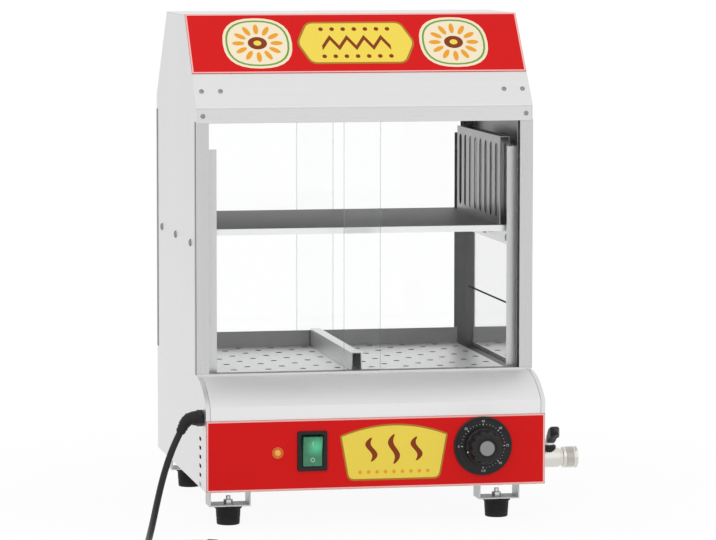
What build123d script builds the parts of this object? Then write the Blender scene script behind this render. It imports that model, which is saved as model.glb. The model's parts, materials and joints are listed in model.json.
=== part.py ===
"""Hot dog steamer: a steel cabinet with sliding glass doors over a steam-heated base.

Units are millimetres. The sub-parts are modelled about the cabinet's own datum: X = 0 on its
centre line and positive to the right, Y = 0 at the front face of the control panel and positive
to the back, Z = 0 on the table. When they are written they are carried to the part's origin,
which is on the table under the middle of the whole steamer, drain valve and knob included.
"""

import os
from math import atan2, cos, degrees, hypot, radians, sqrt, tan

from build123d import *

os.makedirs("parts", exist_ok=True)

# ---------------------------------------------------------------- driving dimensions
# Cabinet and base
width = 360.0  # over the side panels
sheet = 1.0  # stainless sheet
seam = 0.3  # gap between neighbouring sheet edges
base_bottom = 37.4  # underside of the base above the table
base_top = 145.6  # joint between base and cabinet
ledge_depth = 61.5  # how far the base stands out in front of the cabinet
cabinet_depth = 284.2
eave_height = 433.0  # where the roof slopes start
ridge_height = 527.5  # flat top of the roof
roof_run = 79.5  # depth taken by each slope
# Base front
apron_radius = 87.0
ledge_height = 151.0  # rear edge of the curved ledge
cheek_flange = 4.5
deck_flange = 14.0  # inward flange that carries the pan deck
vent_size = (14.0, 4.0)  # slots in the cheeks
vent_pitch = 9.5
vent_count = 6
vent_inset = 22.0  # slot centre ahead of the cabinet's face
vent_z = 65.3
floor_vent_size = (30.0, 5.0)  # slots under the controls
floor_vent_pitch = 14.0
floor_vent_count = 9
floor_vent_inset = 20.7
panel_thickness = 0.6  # coloured front plate
panel_inset = 0.3  # plate edge to cabinet side
panel_bottom_gap = 0.5
panel_height = 74.1
sign_start = 44.0  # bare strip between the eave and the header sign
floor_lip = 12.0
# Door frames
rail_height = 15.4  # top track
sill_height = 6.9  # bottom track
stile_width = 12.5
track_wall = 1.2
groove = 5.0
# Glass
glass = 4.0
pane_end_gap = 5.35  # closed pane to the side panel, with the panes centred
pane_entry = 10.0  # how far a pane stands up into the top track
pane_overlap = 40.7
pane_shift = -2.2  # both closed panes stand this far off centre, within their play
pane_play = 0.3
# Inside
liner_gap = 10.0  # duct between side panel and liner
liner_setback = 2.0  # liner behind the door track
liner_lip = 13.0
liner_bottom = 217.0
liner_top_gap = 28.0  # liner's upper edge below the top track
liner_leg = 18.0
shelf_height = 303.5
shelf_lip = 6.5
shelf_flange = 24.0
shelf_screw_height = 288.7
shelf_screw_front = 16.0  # first screw behind the shelf's front edge
shelf_screw_back = 22.0  # last screw ahead of its back edge
shelf_end_gap = 8.0
shelf_back_gap = 2.0
shelf_side_gap = 0.5
fence_width = 11.0
fence_height = 94.5
fence_length = 204.0
fence_front_gap = 2.0
fence_side_gap = 6.0
slot_width = 12.0
slot_margin = 8.0  # above and below each slot
slot_pitch = 24.5
slot_count = 8
# Water pan and tray
pan_side_inset = 27.0  # pan wall from the side panel
pan_front_inset = 18.5  # pan wall from the cabinet's front
pan_back_inset = 23.7
pan_floor = 75.0
pan_corner = 12.0
pan_edge = 3.0  # rounding between floor and walls
tray_side_gap = 9.3
tray_height = 150.3
tray_gap = 3.0
tray_hole_radius = 3.6
tray_hole_edge = 9.1  # outermost hole centre from the tray's edge
tray_columns = 9  # holes in the fuller rows
tray_row_pitch = 24.6
tray_rows = 10
upstand = 17.7
divider_width = 11.0
divider_height = 20.0
divider_x = -5.0
divider_end_gap = 4.0
divider_round = 0.9
element_radius = 4.0
element_height = 84.0
element_half_pitch = 60.0
element_back_gap = 26.0
element_bend = 32.0
element_terminal = 24.0  # length standing out of the pan wall
element_nut = 5.0
element_nut_radius = 8.8
# Controls, on the front plate
switch_inset = 111.5  # from the left side
switch_z = 78.6
switch_depth = 16.0
switch_back = 2.0  # closed back of the switch
switch_fit = 0.3
bezel_width = 31.8
bezel_tall = 42.0
bezel_height = 2.0
bezel_corner = 2.0
bezel_draft = 12.0
rocker_width = 20.0
rocker_tall = 31.2
rocker_tilt = 7.0
rocker_back = 6.0  # depth behind the plate
rocker_crest = 4.2  # height of the ends before the plate
rocker_valley = 2.2
rocker_slope = 4.0
rocker_gap = 0.6
switch_wall = 2.0
blade_size = (1.0, 6.0)  # terminal blades
blade_length = 8.0
blade_pitch = (10.0, 14.0)
lamp_inset = 75.0  # from the left side
lamp_z = 77.5
lamp_radius = 5.0
lamp_rim = 1.2
lamp_wall = 0.8
lamp_fit = 0.2
lamp_depth = 16.0
lens_depth = 6.0
lens_stand = 2.4
lens_round = 1.6
dial_inset = 67.2  # from the right side
dial_z = 79.4
dial_radius = 31.0
dial_thickness = 2.4
dial_chamfer = 0.8
dial_hole = 4.0
knob_radius = 19.5
knob_length = 19.0
knob_gap = 0.6
knob_skirt = 5.0  # wider part next to the dial
knob_step = 1.5
knob_draft = 5.0
knob_round = 1.5
knob_socket = 11.4  # depth of the shaft hole
flute_radius = 1.6
flute_count = 12
cap_radius = 10.0
cap_recess = 2.0
cap_thickness = 1.6
shaft_radius = 3.0
shaft_buried = 22.0  # length inside the thermostat
thermostat_radius = 22.0
thermostat_depth = 30.0
thermostat_chamfer = 3.0
thermostat_bore = 24.0
# Feet
foot_front = 31.0  # front foot centre behind the control panel
foot_back_inset = 48.7
foot_left_inset = 28.0
foot_right_inset = 45.0  # stands further in, clear of the drain valve
foot_top_radius = 14.5
foot_neck_radius = 13.0  # under the collar
foot_bottom_radius = 12.0
foot_height = 20.0
bracket_width = 43.5
bracket_depth = 27.0
bracket_plate = 1.5
bolt_radius = 2.5
nut_radius = 5.0
nut_height = 4.5
bolt_tip = 4.0
bolt_socket = 4.0  # rubber left under the bolt
foot_chamfer = 1.0
foot_collar = 3.0
# Screws
screw_radius = 2.0
screw_head_radius = 4.0
screw_head = 2.0
screw_chamfer = 0.8
nut_length = 3.0
spacer_radius = 4.5
rivet_radius = 2.6  # heads on the roof slopes and on the top tracks
rivet_head = 1.2
rivet_chamfer = 0.6
rivet_row = 21.0  # up the slope from the eave
rivet_insets = (28.0, 8.0)  # from the side panel
rail_rivet_inset = 7.2
hole_clearance = 0.15
# Drain
drain_inset = 33.5  # behind the cabinet's front
drain_z = 51.0
pipe_radius = 7.0
pipe_bore = 5.5
elbow_inset = 40.0  # from the side panel
elbow_bend = 14.0
valve_reach = 58.0
valve_body_radius = 10.5
valve_nut_radius = 12.5
valve_nut_length = 16.0
valve_bore = 6.0
valve_stem_x = 27.0  # stem axis beyond the side panel
ball_radius = 8.0
seat_length = 0.6  # between the ball's cavity and the outlet bore
ball_bore = 4.5
ball_gap = 0.3
stem_radius = 3.0
stem_gap = 0.05
boss_radius = 8.5
boss_top = 64.5
lever_hub_radius = 7.0
lever_hub_top = 71.0
lever_reach = 40.0
lever_width = 10.0
lever_low = 76.0
lever_high = 88.5
lever_root = 3.0  # depth of the arm over the hub
lever_round = 1.5
stem_grip = 4.0  # stem height inside the lever
valve_chamfer = 1.0
valve_groove = (3.0, 1.5)  # width and depth before the end nut
valve_shoulder = 6.0
valve_spigot = 8.0  # inside the base
# Mains lead
cord_radius = 3.5
gland_y = 22.0
gland_z = 113.0
gland_radius = 8.0
gland_nut = 7.0
gland_hex_radius = 8.8
gland_thread_radius = 6.0
gland_thread = 7.0
sleeve_run = 6.0  # to where the strain relief turns down
sleeve_drop = 1.0
sleeve_way = (-0.9, 0.0, -0.35)
sleeve_radius = 7.0
sleeve_wall = 1.6
coil_x = -220.0
coil_y = -192.0
coil_outer = 47.4
coil_inner = 25.6
coil_height = 14.2
plug_length = 40.0
plug_radius = 18.0
plug_waist = 6.0
plug_neck = 8.0
plug_edge = 3.0
pin_radius = 2.4
pin_length = 19.0
pin_spread = 9.5

# ---------------------------------------------------------------- derived places
half = width / 2
inside = half - sheet  # inner face of a side panel
frame_half = inside  # half width of the door frames
cabinet_front = ledge_depth
cabinet_back = ledge_depth + cabinet_depth
cabinet_middle = (cabinet_front + cabinet_back) / 2
mid_plane = Plane.XZ.offset(-cabinet_middle)  # mirrors front pieces to the back
deck_top = base_top + sheet
track_depth = 3 * track_wall + 2 * groove
sill_top = deck_top + sill_height
steel_front = panel_thickness  # front face of the steel behind the coloured plate
slope = degrees(atan2(ridge_height - eave_height, roof_run))
slope_length = hypot(ridge_height - eave_height, roof_run)
eave_low = eave_height - sheet / cos(radians(slope))  # lower edge of the roof sheet
rail_bottom = eave_low - rail_height
arc_centre_z = ledge_height - apron_radius
apron_bend_z = arc_centre_z + sqrt(apron_radius**2 - (ledge_depth - steel_front) ** 2)
track_back = cabinet_front + track_depth
pane_bottom = deck_top + track_wall + pane_play
pane_width = frame_half - pane_end_gap + pane_overlap / 2
pane_height = rail_bottom + pane_entry - pane_bottom
liner_inner = inside - liner_gap - sheet
liner_front = track_back + liner_setback
liner_back = cabinet_front + cabinet_back - liner_front
liner_top = rail_bottom - liner_top_gap
shelf_front = liner_front + shelf_end_gap
shelf_back = liner_back - shelf_back_gap
shelf_half = liner_inner - shelf_side_gap
shelf_screw_ends = (shelf_front + shelf_screw_front, shelf_back - shelf_screw_back)
shelf_screws_y = (shelf_screw_ends[0], sum(shelf_screw_ends) / 2, shelf_screw_ends[1])
pan_half_width = half - pan_side_inset - sheet
pan_front = cabinet_front + pan_front_inset
pan_back = cabinet_back - pan_back_inset
tray_half_width = liner_inner - tray_side_gap
tray_hole_pitch = 2 * (tray_half_width - tray_hole_edge) / (tray_columns - 1)
switch_x = switch_inset - half
lamp_x = lamp_inset - half
dial_x = half - dial_inset
drain_y = cabinet_front + drain_inset
elbow_x = half - elbow_inset
foot_left = foot_left_inset - half
foot_right = half - foot_right_inset
foot_back = cabinet_back - foot_back_inset
tray_front = liner_front + tray_gap
tray_back = liner_back - sheet - tray_gap
valve_x = half + valve_stem_x
valve_end = half + valve_reach
knob_back = dial_thickness + knob_gap  # ahead of the front plate
x_low = -half - screw_head
x_high = valve_end
y_low = -knob_back - knob_length
y_high = cabinet_back + rivet_head
home = Location((-(x_low + x_high) / 2, -(y_low + y_high) / 2, 0))

SIDES = (("left", -1), ("right", 1))
ENDS = ("front", "rear")


def facing(y):
    """Upright plane seen from the front, X to the right and Z up; extruding runs forward."""
    return Plane.XZ.offset(-y)


def profile(x):
    """Upright plane seen from the right, Y to the back and Z up; extruding runs to the right."""
    return Plane.YZ.offset(x)


def roof_points(inset):
    """Front eave, front ridge, back ridge and back eave, moved square into the roof by inset."""
    low = eave_height - inset / cos(radians(slope))
    reach = roof_run + inset * tan(radians(slope / 2))
    return [
        (cabinet_front, low),
        (cabinet_front + reach, ridge_height - inset),
        (cabinet_back - reach, ridge_height - inset),
        (cabinet_back, low),
    ]


def mirrored_to(end, side="right"):
    """Turn the piece being built, made for the front right, to the end and side it belongs to."""
    if end == "rear":
        mirror(about=mid_plane, mode=Mode.REPLACE)
    if side == "left":
        mirror(about=Plane.YZ, mode=Mode.REPLACE)


def write(piece, name):
    """Label a finished piece, carry it to the part's origin and write its STEP file."""
    piece.part.label = name
    export_step(piece.part.moved(home), f"parts/{name}.step")


# ---------------------------------------------------------------- feet
bracket_height = base_bottom - foot_height
foot_places = {
    "front_left": (foot_left, foot_front),
    "front_right": (foot_right, foot_front),
    "rear_left": (foot_left, foot_back),
    "rear_right": (foot_right, foot_back),
}

with BuildPart() as bracket:
    with BuildSketch(facing(0)):
        Rectangle(bracket_width, bracket_height, align=(Align.CENTER, Align.MIN))
        with Locations((0, bracket_plate)):
            Rectangle(
                bracket_width - 2 * bracket_plate,
                bracket_height,
                align=(Align.CENTER, Align.MIN),
                mode=Mode.SUBTRACT,
            )
    extrude(amount=bracket_depth / 2, both=True)
    with Locations((0, 0, bracket_plate)):
        Hole(bolt_radius + hole_clearance)
with BuildPart() as foot_brackets:
    with Locations([(x, y, foot_height) for x, y in foot_places.values()]):
        add(bracket.part)
write(foot_brackets, "foot_brackets")

for name, (x, y) in foot_places.items():
    with BuildPart() as rubber_foot:
        with BuildSketch(Plane.XZ.offset(-y)):
            with BuildLine():
                Polyline(
                    (0, 0),
                    (foot_bottom_radius - foot_chamfer, 0),
                    (foot_bottom_radius, foot_chamfer),
                    (foot_neck_radius, foot_height - foot_collar),
                    (foot_top_radius, foot_height - foot_collar),
                    (foot_top_radius, foot_height),
                    (bolt_radius + hole_clearance, foot_height),
                    (bolt_radius + hole_clearance, bolt_socket),
                    (0, bolt_socket),
                    close=True,
                )
            make_face()
        revolve(axis=Axis((0, y, 0), (0, 0, 1)))
    rubber_foot.part = rubber_foot.part.moved(Location((x, 0, 0)))
    write(rubber_foot, f"rubber_foot_{name}")

with BuildPart() as foot_bolts:
    with BuildSketch(Plane.XY.offset(bolt_socket)):
        with Locations(list(foot_places.values())):
            Circle(bolt_radius)
    extrude(amount=foot_height + bracket_plate + nut_height + bolt_tip - bolt_socket)
    with BuildSketch(Plane.XY.offset(foot_height + bracket_plate)):
        with Locations(list(foot_places.values())):
            RegularPolygon(nut_radius, 6)
    extrude(amount=nut_height)
write(foot_bolts, "foot_bolts")

# ---------------------------------------------------------------- base
with BuildPart() as base_floor:
    with BuildSketch(Plane.XY.offset(base_bottom)):
        with Locations((0, (steel_front + sheet + cabinet_back - sheet) / 2)):
            Rectangle(2 * inside, cabinet_back - steel_front - 2 * sheet)
    extrude(amount=floor_lip)
    offset(amount=-sheet, openings=base_floor.faces().sort_by(Axis.Z)[-1])
    with BuildSketch(Plane.XY.offset(base_bottom)):
        with Locations((0, ledge_depth - floor_vent_inset)):
            with GridLocations(floor_vent_pitch, 0, floor_vent_count, 1):
                SlotOverall(*floor_vent_size, rotation=90)
    extrude(amount=sheet, mode=Mode.SUBTRACT)
    with Locations(Location((inside, drain_y, drain_z), (0, 90, 0))):
        Cylinder(pipe_radius + hole_clearance, 4 * sheet, mode=Mode.SUBTRACT)
write(base_floor, "base_floor")

for side, sign in SIDES:
    with BuildPart() as base_side:
        with BuildSketch(facing(cabinet_back)):
            with Locations((half, base_bottom)):
                Rectangle(sheet, base_top - base_bottom, align=(Align.MAX, Align.MIN))
            with Locations((half, base_top)):
                Rectangle(deck_flange, sheet, align=Align.MAX)
        extrude(amount=cabinet_depth - seam)
        if side == "right":
            with Locations(Location((half - sheet / 2, drain_y, drain_z), (0, 90, 0))):
                Cylinder(pipe_radius + hole_clearance, 4 * sheet, mode=Mode.SUBTRACT)
        else:
            mirror(about=Plane.YZ, mode=Mode.REPLACE)
    write(base_side, f"base_side_{side}")

with BuildPart() as base_rear_panel:
    with BuildSketch(facing(cabinet_back)):
        with Locations((0, base_bottom)):
            Rectangle(2 * inside, base_top - sheet - base_bottom, align=(Align.CENTER, Align.MIN))
    extrude(amount=sheet)
write(base_rear_panel, "base_rear_panel")

for side, sign in SIDES:
    with BuildPart() as front_cheek:
        with BuildSketch(profile(half)):
            with BuildLine():
                Line((steel_front, base_bottom), (steel_front, apron_bend_z))
                RadiusArc((steel_front, apron_bend_z), (ledge_depth, ledge_height), apron_radius)
                Polyline((ledge_depth, ledge_height), (ledge_depth, base_bottom), (steel_front, base_bottom))
            make_face()
        extrude(amount=-sheet)
        with BuildSketch(profile(half)):
            with BuildLine():
                Line((steel_front, base_bottom), (steel_front, apron_bend_z))
                RadiusArc((steel_front, apron_bend_z), (ledge_depth, ledge_height), apron_radius)
                offset(amount=sheet, side=Side.RIGHT)
            make_face()
        extrude(amount=-cheek_flange)
        with BuildSketch(profile(half)):
            with Locations((ledge_depth - vent_inset, vent_z)):
                with GridLocations(0, vent_pitch, 1, vent_count):
                    SlotOverall(*vent_size)
        extrude(amount=-2 * sheet, mode=Mode.SUBTRACT)
        if side == "left":
            with Locations(Location((half - sheet / 2, gland_y, gland_z), (0, 90, 0))):
                Cylinder(gland_thread_radius + hole_clearance, 4 * sheet, mode=Mode.SUBTRACT)
            mirror(about=Plane.YZ, mode=Mode.REPLACE)
    write(front_cheek, f"front_cheek_{side}")

switch_barrel = [side + 2 * (rocker_gap + switch_wall) for side in (rocker_width, rocker_tall)]
switch_hole = [side + 2 * switch_fit for side in switch_barrel]
with BuildPart() as front_apron:
    with BuildSketch(profile(half - cheek_flange - seam)):
        with BuildLine():
            Line((steel_front, base_bottom), (steel_front, apron_bend_z))
            RadiusArc((steel_front, apron_bend_z), (ledge_depth, ledge_height), apron_radius)
            offset(amount=sheet, side=Side.RIGHT)
        make_face()
    extrude(amount=-2 * (half - cheek_flange - seam))
    with BuildSketch(facing(steel_front)):
        with Locations((switch_x, switch_z)):
            Rectangle(*switch_hole)
        with Locations((lamp_x, lamp_z)):
            Circle(lamp_radius)
        with Locations((dial_x, dial_z)):
            Circle(dial_hole)
    extrude(amount=-2 * sheet, mode=Mode.SUBTRACT)
write(front_apron, "front_apron")

with BuildPart() as control_panel:
    with BuildSketch(facing(steel_front)):
        with Locations((0, base_bottom + panel_bottom_gap)):
            Rectangle(2 * (half - panel_inset), panel_height, align=(Align.CENTER, Align.MIN))
        with Locations((switch_x, switch_z)):
            Rectangle(*switch_hole, mode=Mode.SUBTRACT)
        with Locations((lamp_x, lamp_z)):
            Circle(lamp_radius, mode=Mode.SUBTRACT)
        with Locations((dial_x, dial_z)):
            Circle(dial_hole, mode=Mode.SUBTRACT)
    extrude(amount=panel_thickness)
write(control_panel, "control_panel")

# ---------------------------------------------------------------- cabinet shell
for side, sign in SIDES:
    with BuildPart() as cabinet_side:
        with BuildSketch(profile(half)):
            with BuildLine():
                Polyline(
                    (cabinet_front, base_top),
                    *roof_points(sheet),
                    (cabinet_back, base_top),
                    close=True,
                )
            make_face()
        extrude(amount=-sheet)
        with BuildSketch(profile(half)):
            with BuildLine():
                Polyline(*roof_points(sheet), *reversed(roof_points(2 * sheet)), close=True)
            make_face()
            with Locations((cabinet_middle, eave_height)):
                Rectangle(cabinet_depth, eave_height, align=(Align.CENTER, Align.MAX), mode=Mode.SUBTRACT)
        extrude(amount=-liner_gap)
        with Locations([Location((half, y, shelf_screw_height), (0, 90, 0)) for y in shelf_screws_y]):
            Cylinder(screw_radius + hole_clearance, 4 * sheet, mode=Mode.SUBTRACT)
        if side == "left":
            mirror(about=Plane.YZ, mode=Mode.REPLACE)
    write(cabinet_side, f"cabinet_side_{side}")

with BuildPart() as roof_shell:
    with BuildSketch(profile(0)):
        with BuildLine():
            Polyline(*roof_points(0), *reversed(roof_points(sheet)), close=True)
        make_face()
    extrude(amount=half, both=True)
    eave_cut = sheet / tan(radians(slope))
    with BuildSketch(profile(0).shift_origin((0, cabinet_middle, 0))):
        with BuildLine():
            Polyline(
                (-cabinet_depth / 2, eave_low),
                (track_depth - cabinet_depth / 2, eave_low),
                (track_depth - cabinet_depth / 2, eave_low + sheet),
                (eave_cut - cabinet_depth / 2, eave_low + sheet),
                close=True,
            )
        make_face()
        mirror(about=Plane.YZ)
    extrude(amount=half - liner_gap - seam, both=True)
write(roof_shell, "roof_shell")

roof_plane = Plane(
    origin=(0, cabinet_front, eave_height),
    x_dir=(1, 0, 0),
    z_dir=(0, -(ridge_height - eave_height), roof_run),
)

with BuildPart() as header_sign:
    with BuildSketch(roof_plane):
        with Locations((0, sign_start)):
            Rectangle(
                2 * (half - panel_inset),
                slope_length - sign_start - seam,
                align=(Align.CENTER, Align.MIN),
            )
    extrude(amount=panel_thickness)
write(header_sign, "header_sign")

with BuildPart() as rivet:
    Cylinder(rivet_radius, rivet_head, align=(Align.CENTER, Align.CENTER, Align.MIN))
    chamfer(rivet.faces().sort_by(Axis.Z)[-1].edges(), rivet_chamfer)
rail_middle = rail_bottom + rail_height / 2
with BuildPart() as cabinet_rivets:
    for _, sign in SIDES:
        with Locations([roof_plane * Location((sign * (half - x), rivet_row)) for x in rivet_insets]):
            add(rivet.part)
        rail_place = Location((sign * (half - rail_rivet_inset), rail_middle))
        with Locations(facing(cabinet_front) * rail_place):
            add(rivet.part)
    mirror(about=mid_plane)
write(cabinet_rivets, "cabinet_rivets")

# ---------------------------------------------------------------- door frames and sliding panes
grooves_y = [track_wall + groove / 2, 2 * track_wall + 1.5 * groove]

for end in ENDS:
    with BuildPart() as top_track:
        with BuildSketch(profile(frame_half)):
            with Locations((cabinet_front, rail_bottom)):
                Rectangle(track_depth, rail_height, align=Align.MIN)
            with Locations([(cabinet_front + y, rail_bottom) for y in grooves_y]):
                Rectangle(
                    groove,
                    rail_height - track_wall,
                    align=(Align.CENTER, Align.MIN),
                    mode=Mode.SUBTRACT,
                )
        extrude(amount=-2 * frame_half)
        mirrored_to(end)
    write(top_track, f"{end}_top_track")

    with BuildPart() as bottom_track:
        with BuildSketch(profile(frame_half)):
            with Locations((cabinet_front, deck_top)):
                Rectangle(track_depth, sill_height, align=Align.MIN)
            with Locations([(cabinet_front + y, deck_top + track_wall) for y in grooves_y]):
                Rectangle(groove, sill_height, align=(Align.CENTER, Align.MIN), mode=Mode.SUBTRACT)
        extrude(amount=-2 * frame_half)
        mirrored_to(end)
    write(bottom_track, f"{end}_bottom_track")

    for side, sign in SIDES:
        with BuildPart() as stile:
            with BuildSketch(Plane.XY.offset(sill_top)):
                with Locations((frame_half, cabinet_front)):
                    Rectangle(stile_width, track_depth, align=(Align.MAX, Align.MIN))
                with Locations((frame_half - track_wall, cabinet_front + track_wall)):
                    Rectangle(
                        stile_width,
                        track_depth - 2 * track_wall,
                        align=(Align.MAX, Align.MIN),
                        mode=Mode.SUBTRACT,
                    )
            extrude(amount=rail_bottom - sill_top)
            mirrored_to(end, side)
        write(stile, f"{end}_stile_{side}")

    # The right-hand pane runs in the outer groove and the left-hand one behind it.
    pane_centre = (pane_width - pane_overlap) / 2
    for side, x, y in (
        ("right", pane_shift + pane_centre, grooves_y[0]),
        ("left", pane_shift - pane_centre, grooves_y[1]),
    ):
        with BuildPart() as pane:
            with Locations((x, cabinet_front + y, pane_bottom)):
                Box(pane_width, glass, pane_height, align=(Align.CENTER, Align.CENTER, Align.MIN))
            chamfer(pane.edges().filter_by(Axis.Z), 0.6)
            mirrored_to(end)
        write(pane, f"{end}_pane_{side}")

# ---------------------------------------------------------------- steam duct liners, shelf and bun fence
for side, sign in SIDES:
    with BuildPart() as duct_liner:
        with BuildSketch(Plane.XY.offset(deck_top)):
            with Locations((liner_inner + sheet, liner_front)):
                Rectangle(liner_lip, liner_back - liner_front, align=(Align.MAX, Align.MIN))
            with Locations((liner_inner, (liner_front + liner_back) / 2)):
                Rectangle(
                    liner_lip,
                    liner_back - liner_front - 2 * sheet,
                    align=(Align.MAX, Align.CENTER),
                    mode=Mode.SUBTRACT,
                )
        extrude(amount=liner_top - deck_top)
        with Locations((liner_inner + sheet / 2, (liner_front + liner_back) / 2, deck_top)):
            Box(
                4 * sheet,
                liner_back - liner_front - 2 * liner_leg,
                liner_bottom - deck_top,
                align=(Align.CENTER, Align.CENTER, Align.MIN),
                mode=Mode.SUBTRACT,
            )
        with Locations([Location((liner_inner, y, shelf_screw_height), (0, 90, 0)) for y in shelf_screws_y]):
            Cylinder(screw_radius + hole_clearance, 4 * sheet, mode=Mode.SUBTRACT)
        mirrored_to("front", side)
    write(duct_liner, f"duct_liner_{side}")

with BuildPart() as bun_shelf:
    shelf_y = (shelf_front + shelf_back) / 2
    shelf_length = shelf_back - shelf_front
    with BuildSketch(Plane.XY.offset(shelf_height)):
        with Locations((0, shelf_y)):
            Rectangle(2 * shelf_half, shelf_length)
    extrude(amount=-sheet)
    with BuildSketch(Plane.XY.offset(shelf_height)):
        with Locations((0, shelf_y)):
            with GridLocations(0, shelf_length - sheet, 1, 2):
                Rectangle(2 * shelf_half, sheet)
    extrude(amount=-shelf_lip)
    with BuildSketch(Plane.XY.offset(shelf_height)):
        with Locations((0, shelf_y)):
            with GridLocations(2 * shelf_half - sheet, 0, 2, 1):
                Rectangle(sheet, shelf_length - 2 * shelf_lip)
    extrude(amount=-shelf_flange)
    with Locations([Location((0, y, shelf_screw_height), (0, 90, 0)) for y in shelf_screws_y]):
        Cylinder(screw_radius + hole_clearance, 2 * width, mode=Mode.SUBTRACT)
write(bun_shelf, "bun_shelf")

with BuildPart() as shelf_spacers:
    with BuildSketch(profile(liner_inner + sheet)):
        with Locations([(y, shelf_screw_height) for y in shelf_screws_y]):
            Circle(spacer_radius)
            Circle(screw_radius + hole_clearance, mode=Mode.SUBTRACT)
    extrude(amount=inside - liner_inner - sheet)
    mirror(about=Plane.YZ)
write(shelf_spacers, "shelf_spacers")

screw_tail = shelf_half - sheet - nut_length
with BuildPart() as shelf_screws:
    with BuildSketch(profile(screw_tail)):
        with Locations([(y, shelf_screw_height) for y in shelf_screws_y]):
            Circle(screw_radius)
    extrude(amount=half + screw_head - screw_tail)
    with BuildSketch(profile(half)):
        with Locations([(y, shelf_screw_height) for y in shelf_screws_y]):
            Circle(screw_head_radius)
    extrude(amount=screw_head)
    chamfer(shelf_screws.faces().sort_by(Axis.X)[-3:].edges(), screw_chamfer)
    with BuildSketch(profile(shelf_half - sheet)):
        with Locations([(y, shelf_screw_height) for y in shelf_screws_y]):
            RegularPolygon(screw_head_radius, 6)
    extrude(amount=-nut_length)
    mirror(about=Plane.YZ)
write(shelf_screws, "shelf_screws")

fence_right = shelf_half - fence_side_gap
fence_y = shelf_front + fence_front_gap + fence_length / 2
with BuildPart() as bun_fence:
    with BuildSketch(facing(fence_y - fence_length / 2)):
        with Locations((fence_right - fence_width / 2, shelf_height)):
            Rectangle(fence_width, fence_height, align=(Align.CENTER, Align.MIN))
            Rectangle(
                fence_width - 2 * sheet,
                fence_height - sheet,
                align=(Align.CENTER, Align.MIN),
                mode=Mode.SUBTRACT,
            )
    extrude(amount=-fence_length)
    with BuildSketch(profile(fence_right)):
        with Locations((fence_y, shelf_height + fence_height / 2)):
            with GridLocations(slot_pitch, 0, slot_count, 1):
                SlotOverall(fence_height - 2 * slot_margin, slot_width, rotation=90)
    extrude(amount=-fence_width, mode=Mode.SUBTRACT)
write(bun_fence, "bun_fence")

# ---------------------------------------------------------------- water pan, perforated tray and divider
pan_depth_y = pan_back - pan_front
pan_y = (pan_front + pan_back) / 2
with BuildPart() as water_pan:
    with BuildSketch(Plane.XY.offset(pan_floor)):
        with Locations((0, pan_y)):
            RectangleRounded(2 * pan_half_width, pan_depth_y, pan_corner)
    extrude(amount=deck_top - pan_floor)
    fillet(water_pan.faces().sort_by(Axis.Z)[0].edges(), pan_edge)
    offset(amount=-sheet, openings=water_pan.faces().sort_by(Axis.Z)[-1])
    with BuildSketch(Plane.XY.offset(base_top)):
        with Locations((0, cabinet_middle)):
            Rectangle(2 * frame_half, cabinet_depth - 2 * seam)
        with Locations((0, pan_y)):
            RectangleRounded(
                2 * (pan_half_width - sheet),
                pan_depth_y - 2 * sheet,
                pan_corner - sheet,
                mode=Mode.SUBTRACT,
            )
    extrude(amount=sheet)
    with Locations((elbow_x, drain_y, pan_floor)):
        Cylinder(pipe_bore, 8 * sheet, mode=Mode.SUBTRACT)
    with BuildSketch(facing(pan_front)):
        with Locations([(sign * element_half_pitch, element_height) for _, sign in SIDES]):
            Circle(element_radius + hole_clearance)
    extrude(amount=-4 * sheet, mode=Mode.SUBTRACT)
write(water_pan, "water_pan")

with BuildPart() as heating_element:
    with BuildLine():
        element_path = FilletPolyline(
            (-element_half_pitch, pan_front - element_terminal, element_height),
            (-element_half_pitch, pan_back - element_back_gap, element_height),
            (element_half_pitch, pan_back - element_back_gap, element_height),
            (element_half_pitch, pan_front - element_terminal, element_height),
            radius=element_bend,
        )
    with BuildSketch(Plane(origin=element_path @ 0, z_dir=element_path % 0)):
        Circle(element_radius)
    sweep()
    with BuildSketch(facing(pan_front)):
        with Locations([(sign * element_half_pitch, element_height) for _, sign in SIDES]):
            RegularPolygon(element_nut_radius, 6)
    extrude(amount=element_nut)
write(heating_element, "heating_element")

tray_length = tray_back - tray_front
tray_y = (tray_front + tray_back) / 2
with BuildPart() as steam_tray:
    with BuildSketch(Plane.XY.offset(tray_height - sheet)):
        with Locations((0, tray_front)):
            Rectangle(2 * tray_half_width, tray_length - sheet, align=(Align.CENTER, Align.MIN))
        first_row = tray_back - 2.5 * tray_hole_radius - tray_row_pitch * (tray_rows - 1)
        for row in range(tray_rows):
            across = tray_columns - (tray_rows - row) % 2
            with Locations((0, first_row + tray_row_pitch * row)):
                with GridLocations(tray_hole_pitch, 0, across, 1):
                    Circle(tray_hole_radius, mode=Mode.SUBTRACT)
    extrude(amount=sheet)
write(steam_tray, "steam_tray")

with BuildPart() as tray_flanges:
    with BuildSketch(Plane.XY.offset(deck_top + pane_play)):
        with Locations((0, tray_y)):
            Rectangle(2 * tray_half_width, tray_length)
            Rectangle(2 * (tray_half_width - sheet), tray_length - 2 * sheet, mode=Mode.SUBTRACT)
    extrude(amount=tray_height - sheet - deck_top - pane_play)
    with BuildSketch(Plane.XY.offset(deck_top + pane_play)):
        with Locations((0, tray_back)):
            Rectangle(2 * tray_half_width, sheet, align=(Align.CENTER, Align.MAX))
    extrude(amount=tray_height + upstand - deck_top - pane_play)
write(tray_flanges, "tray_flanges")

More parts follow.
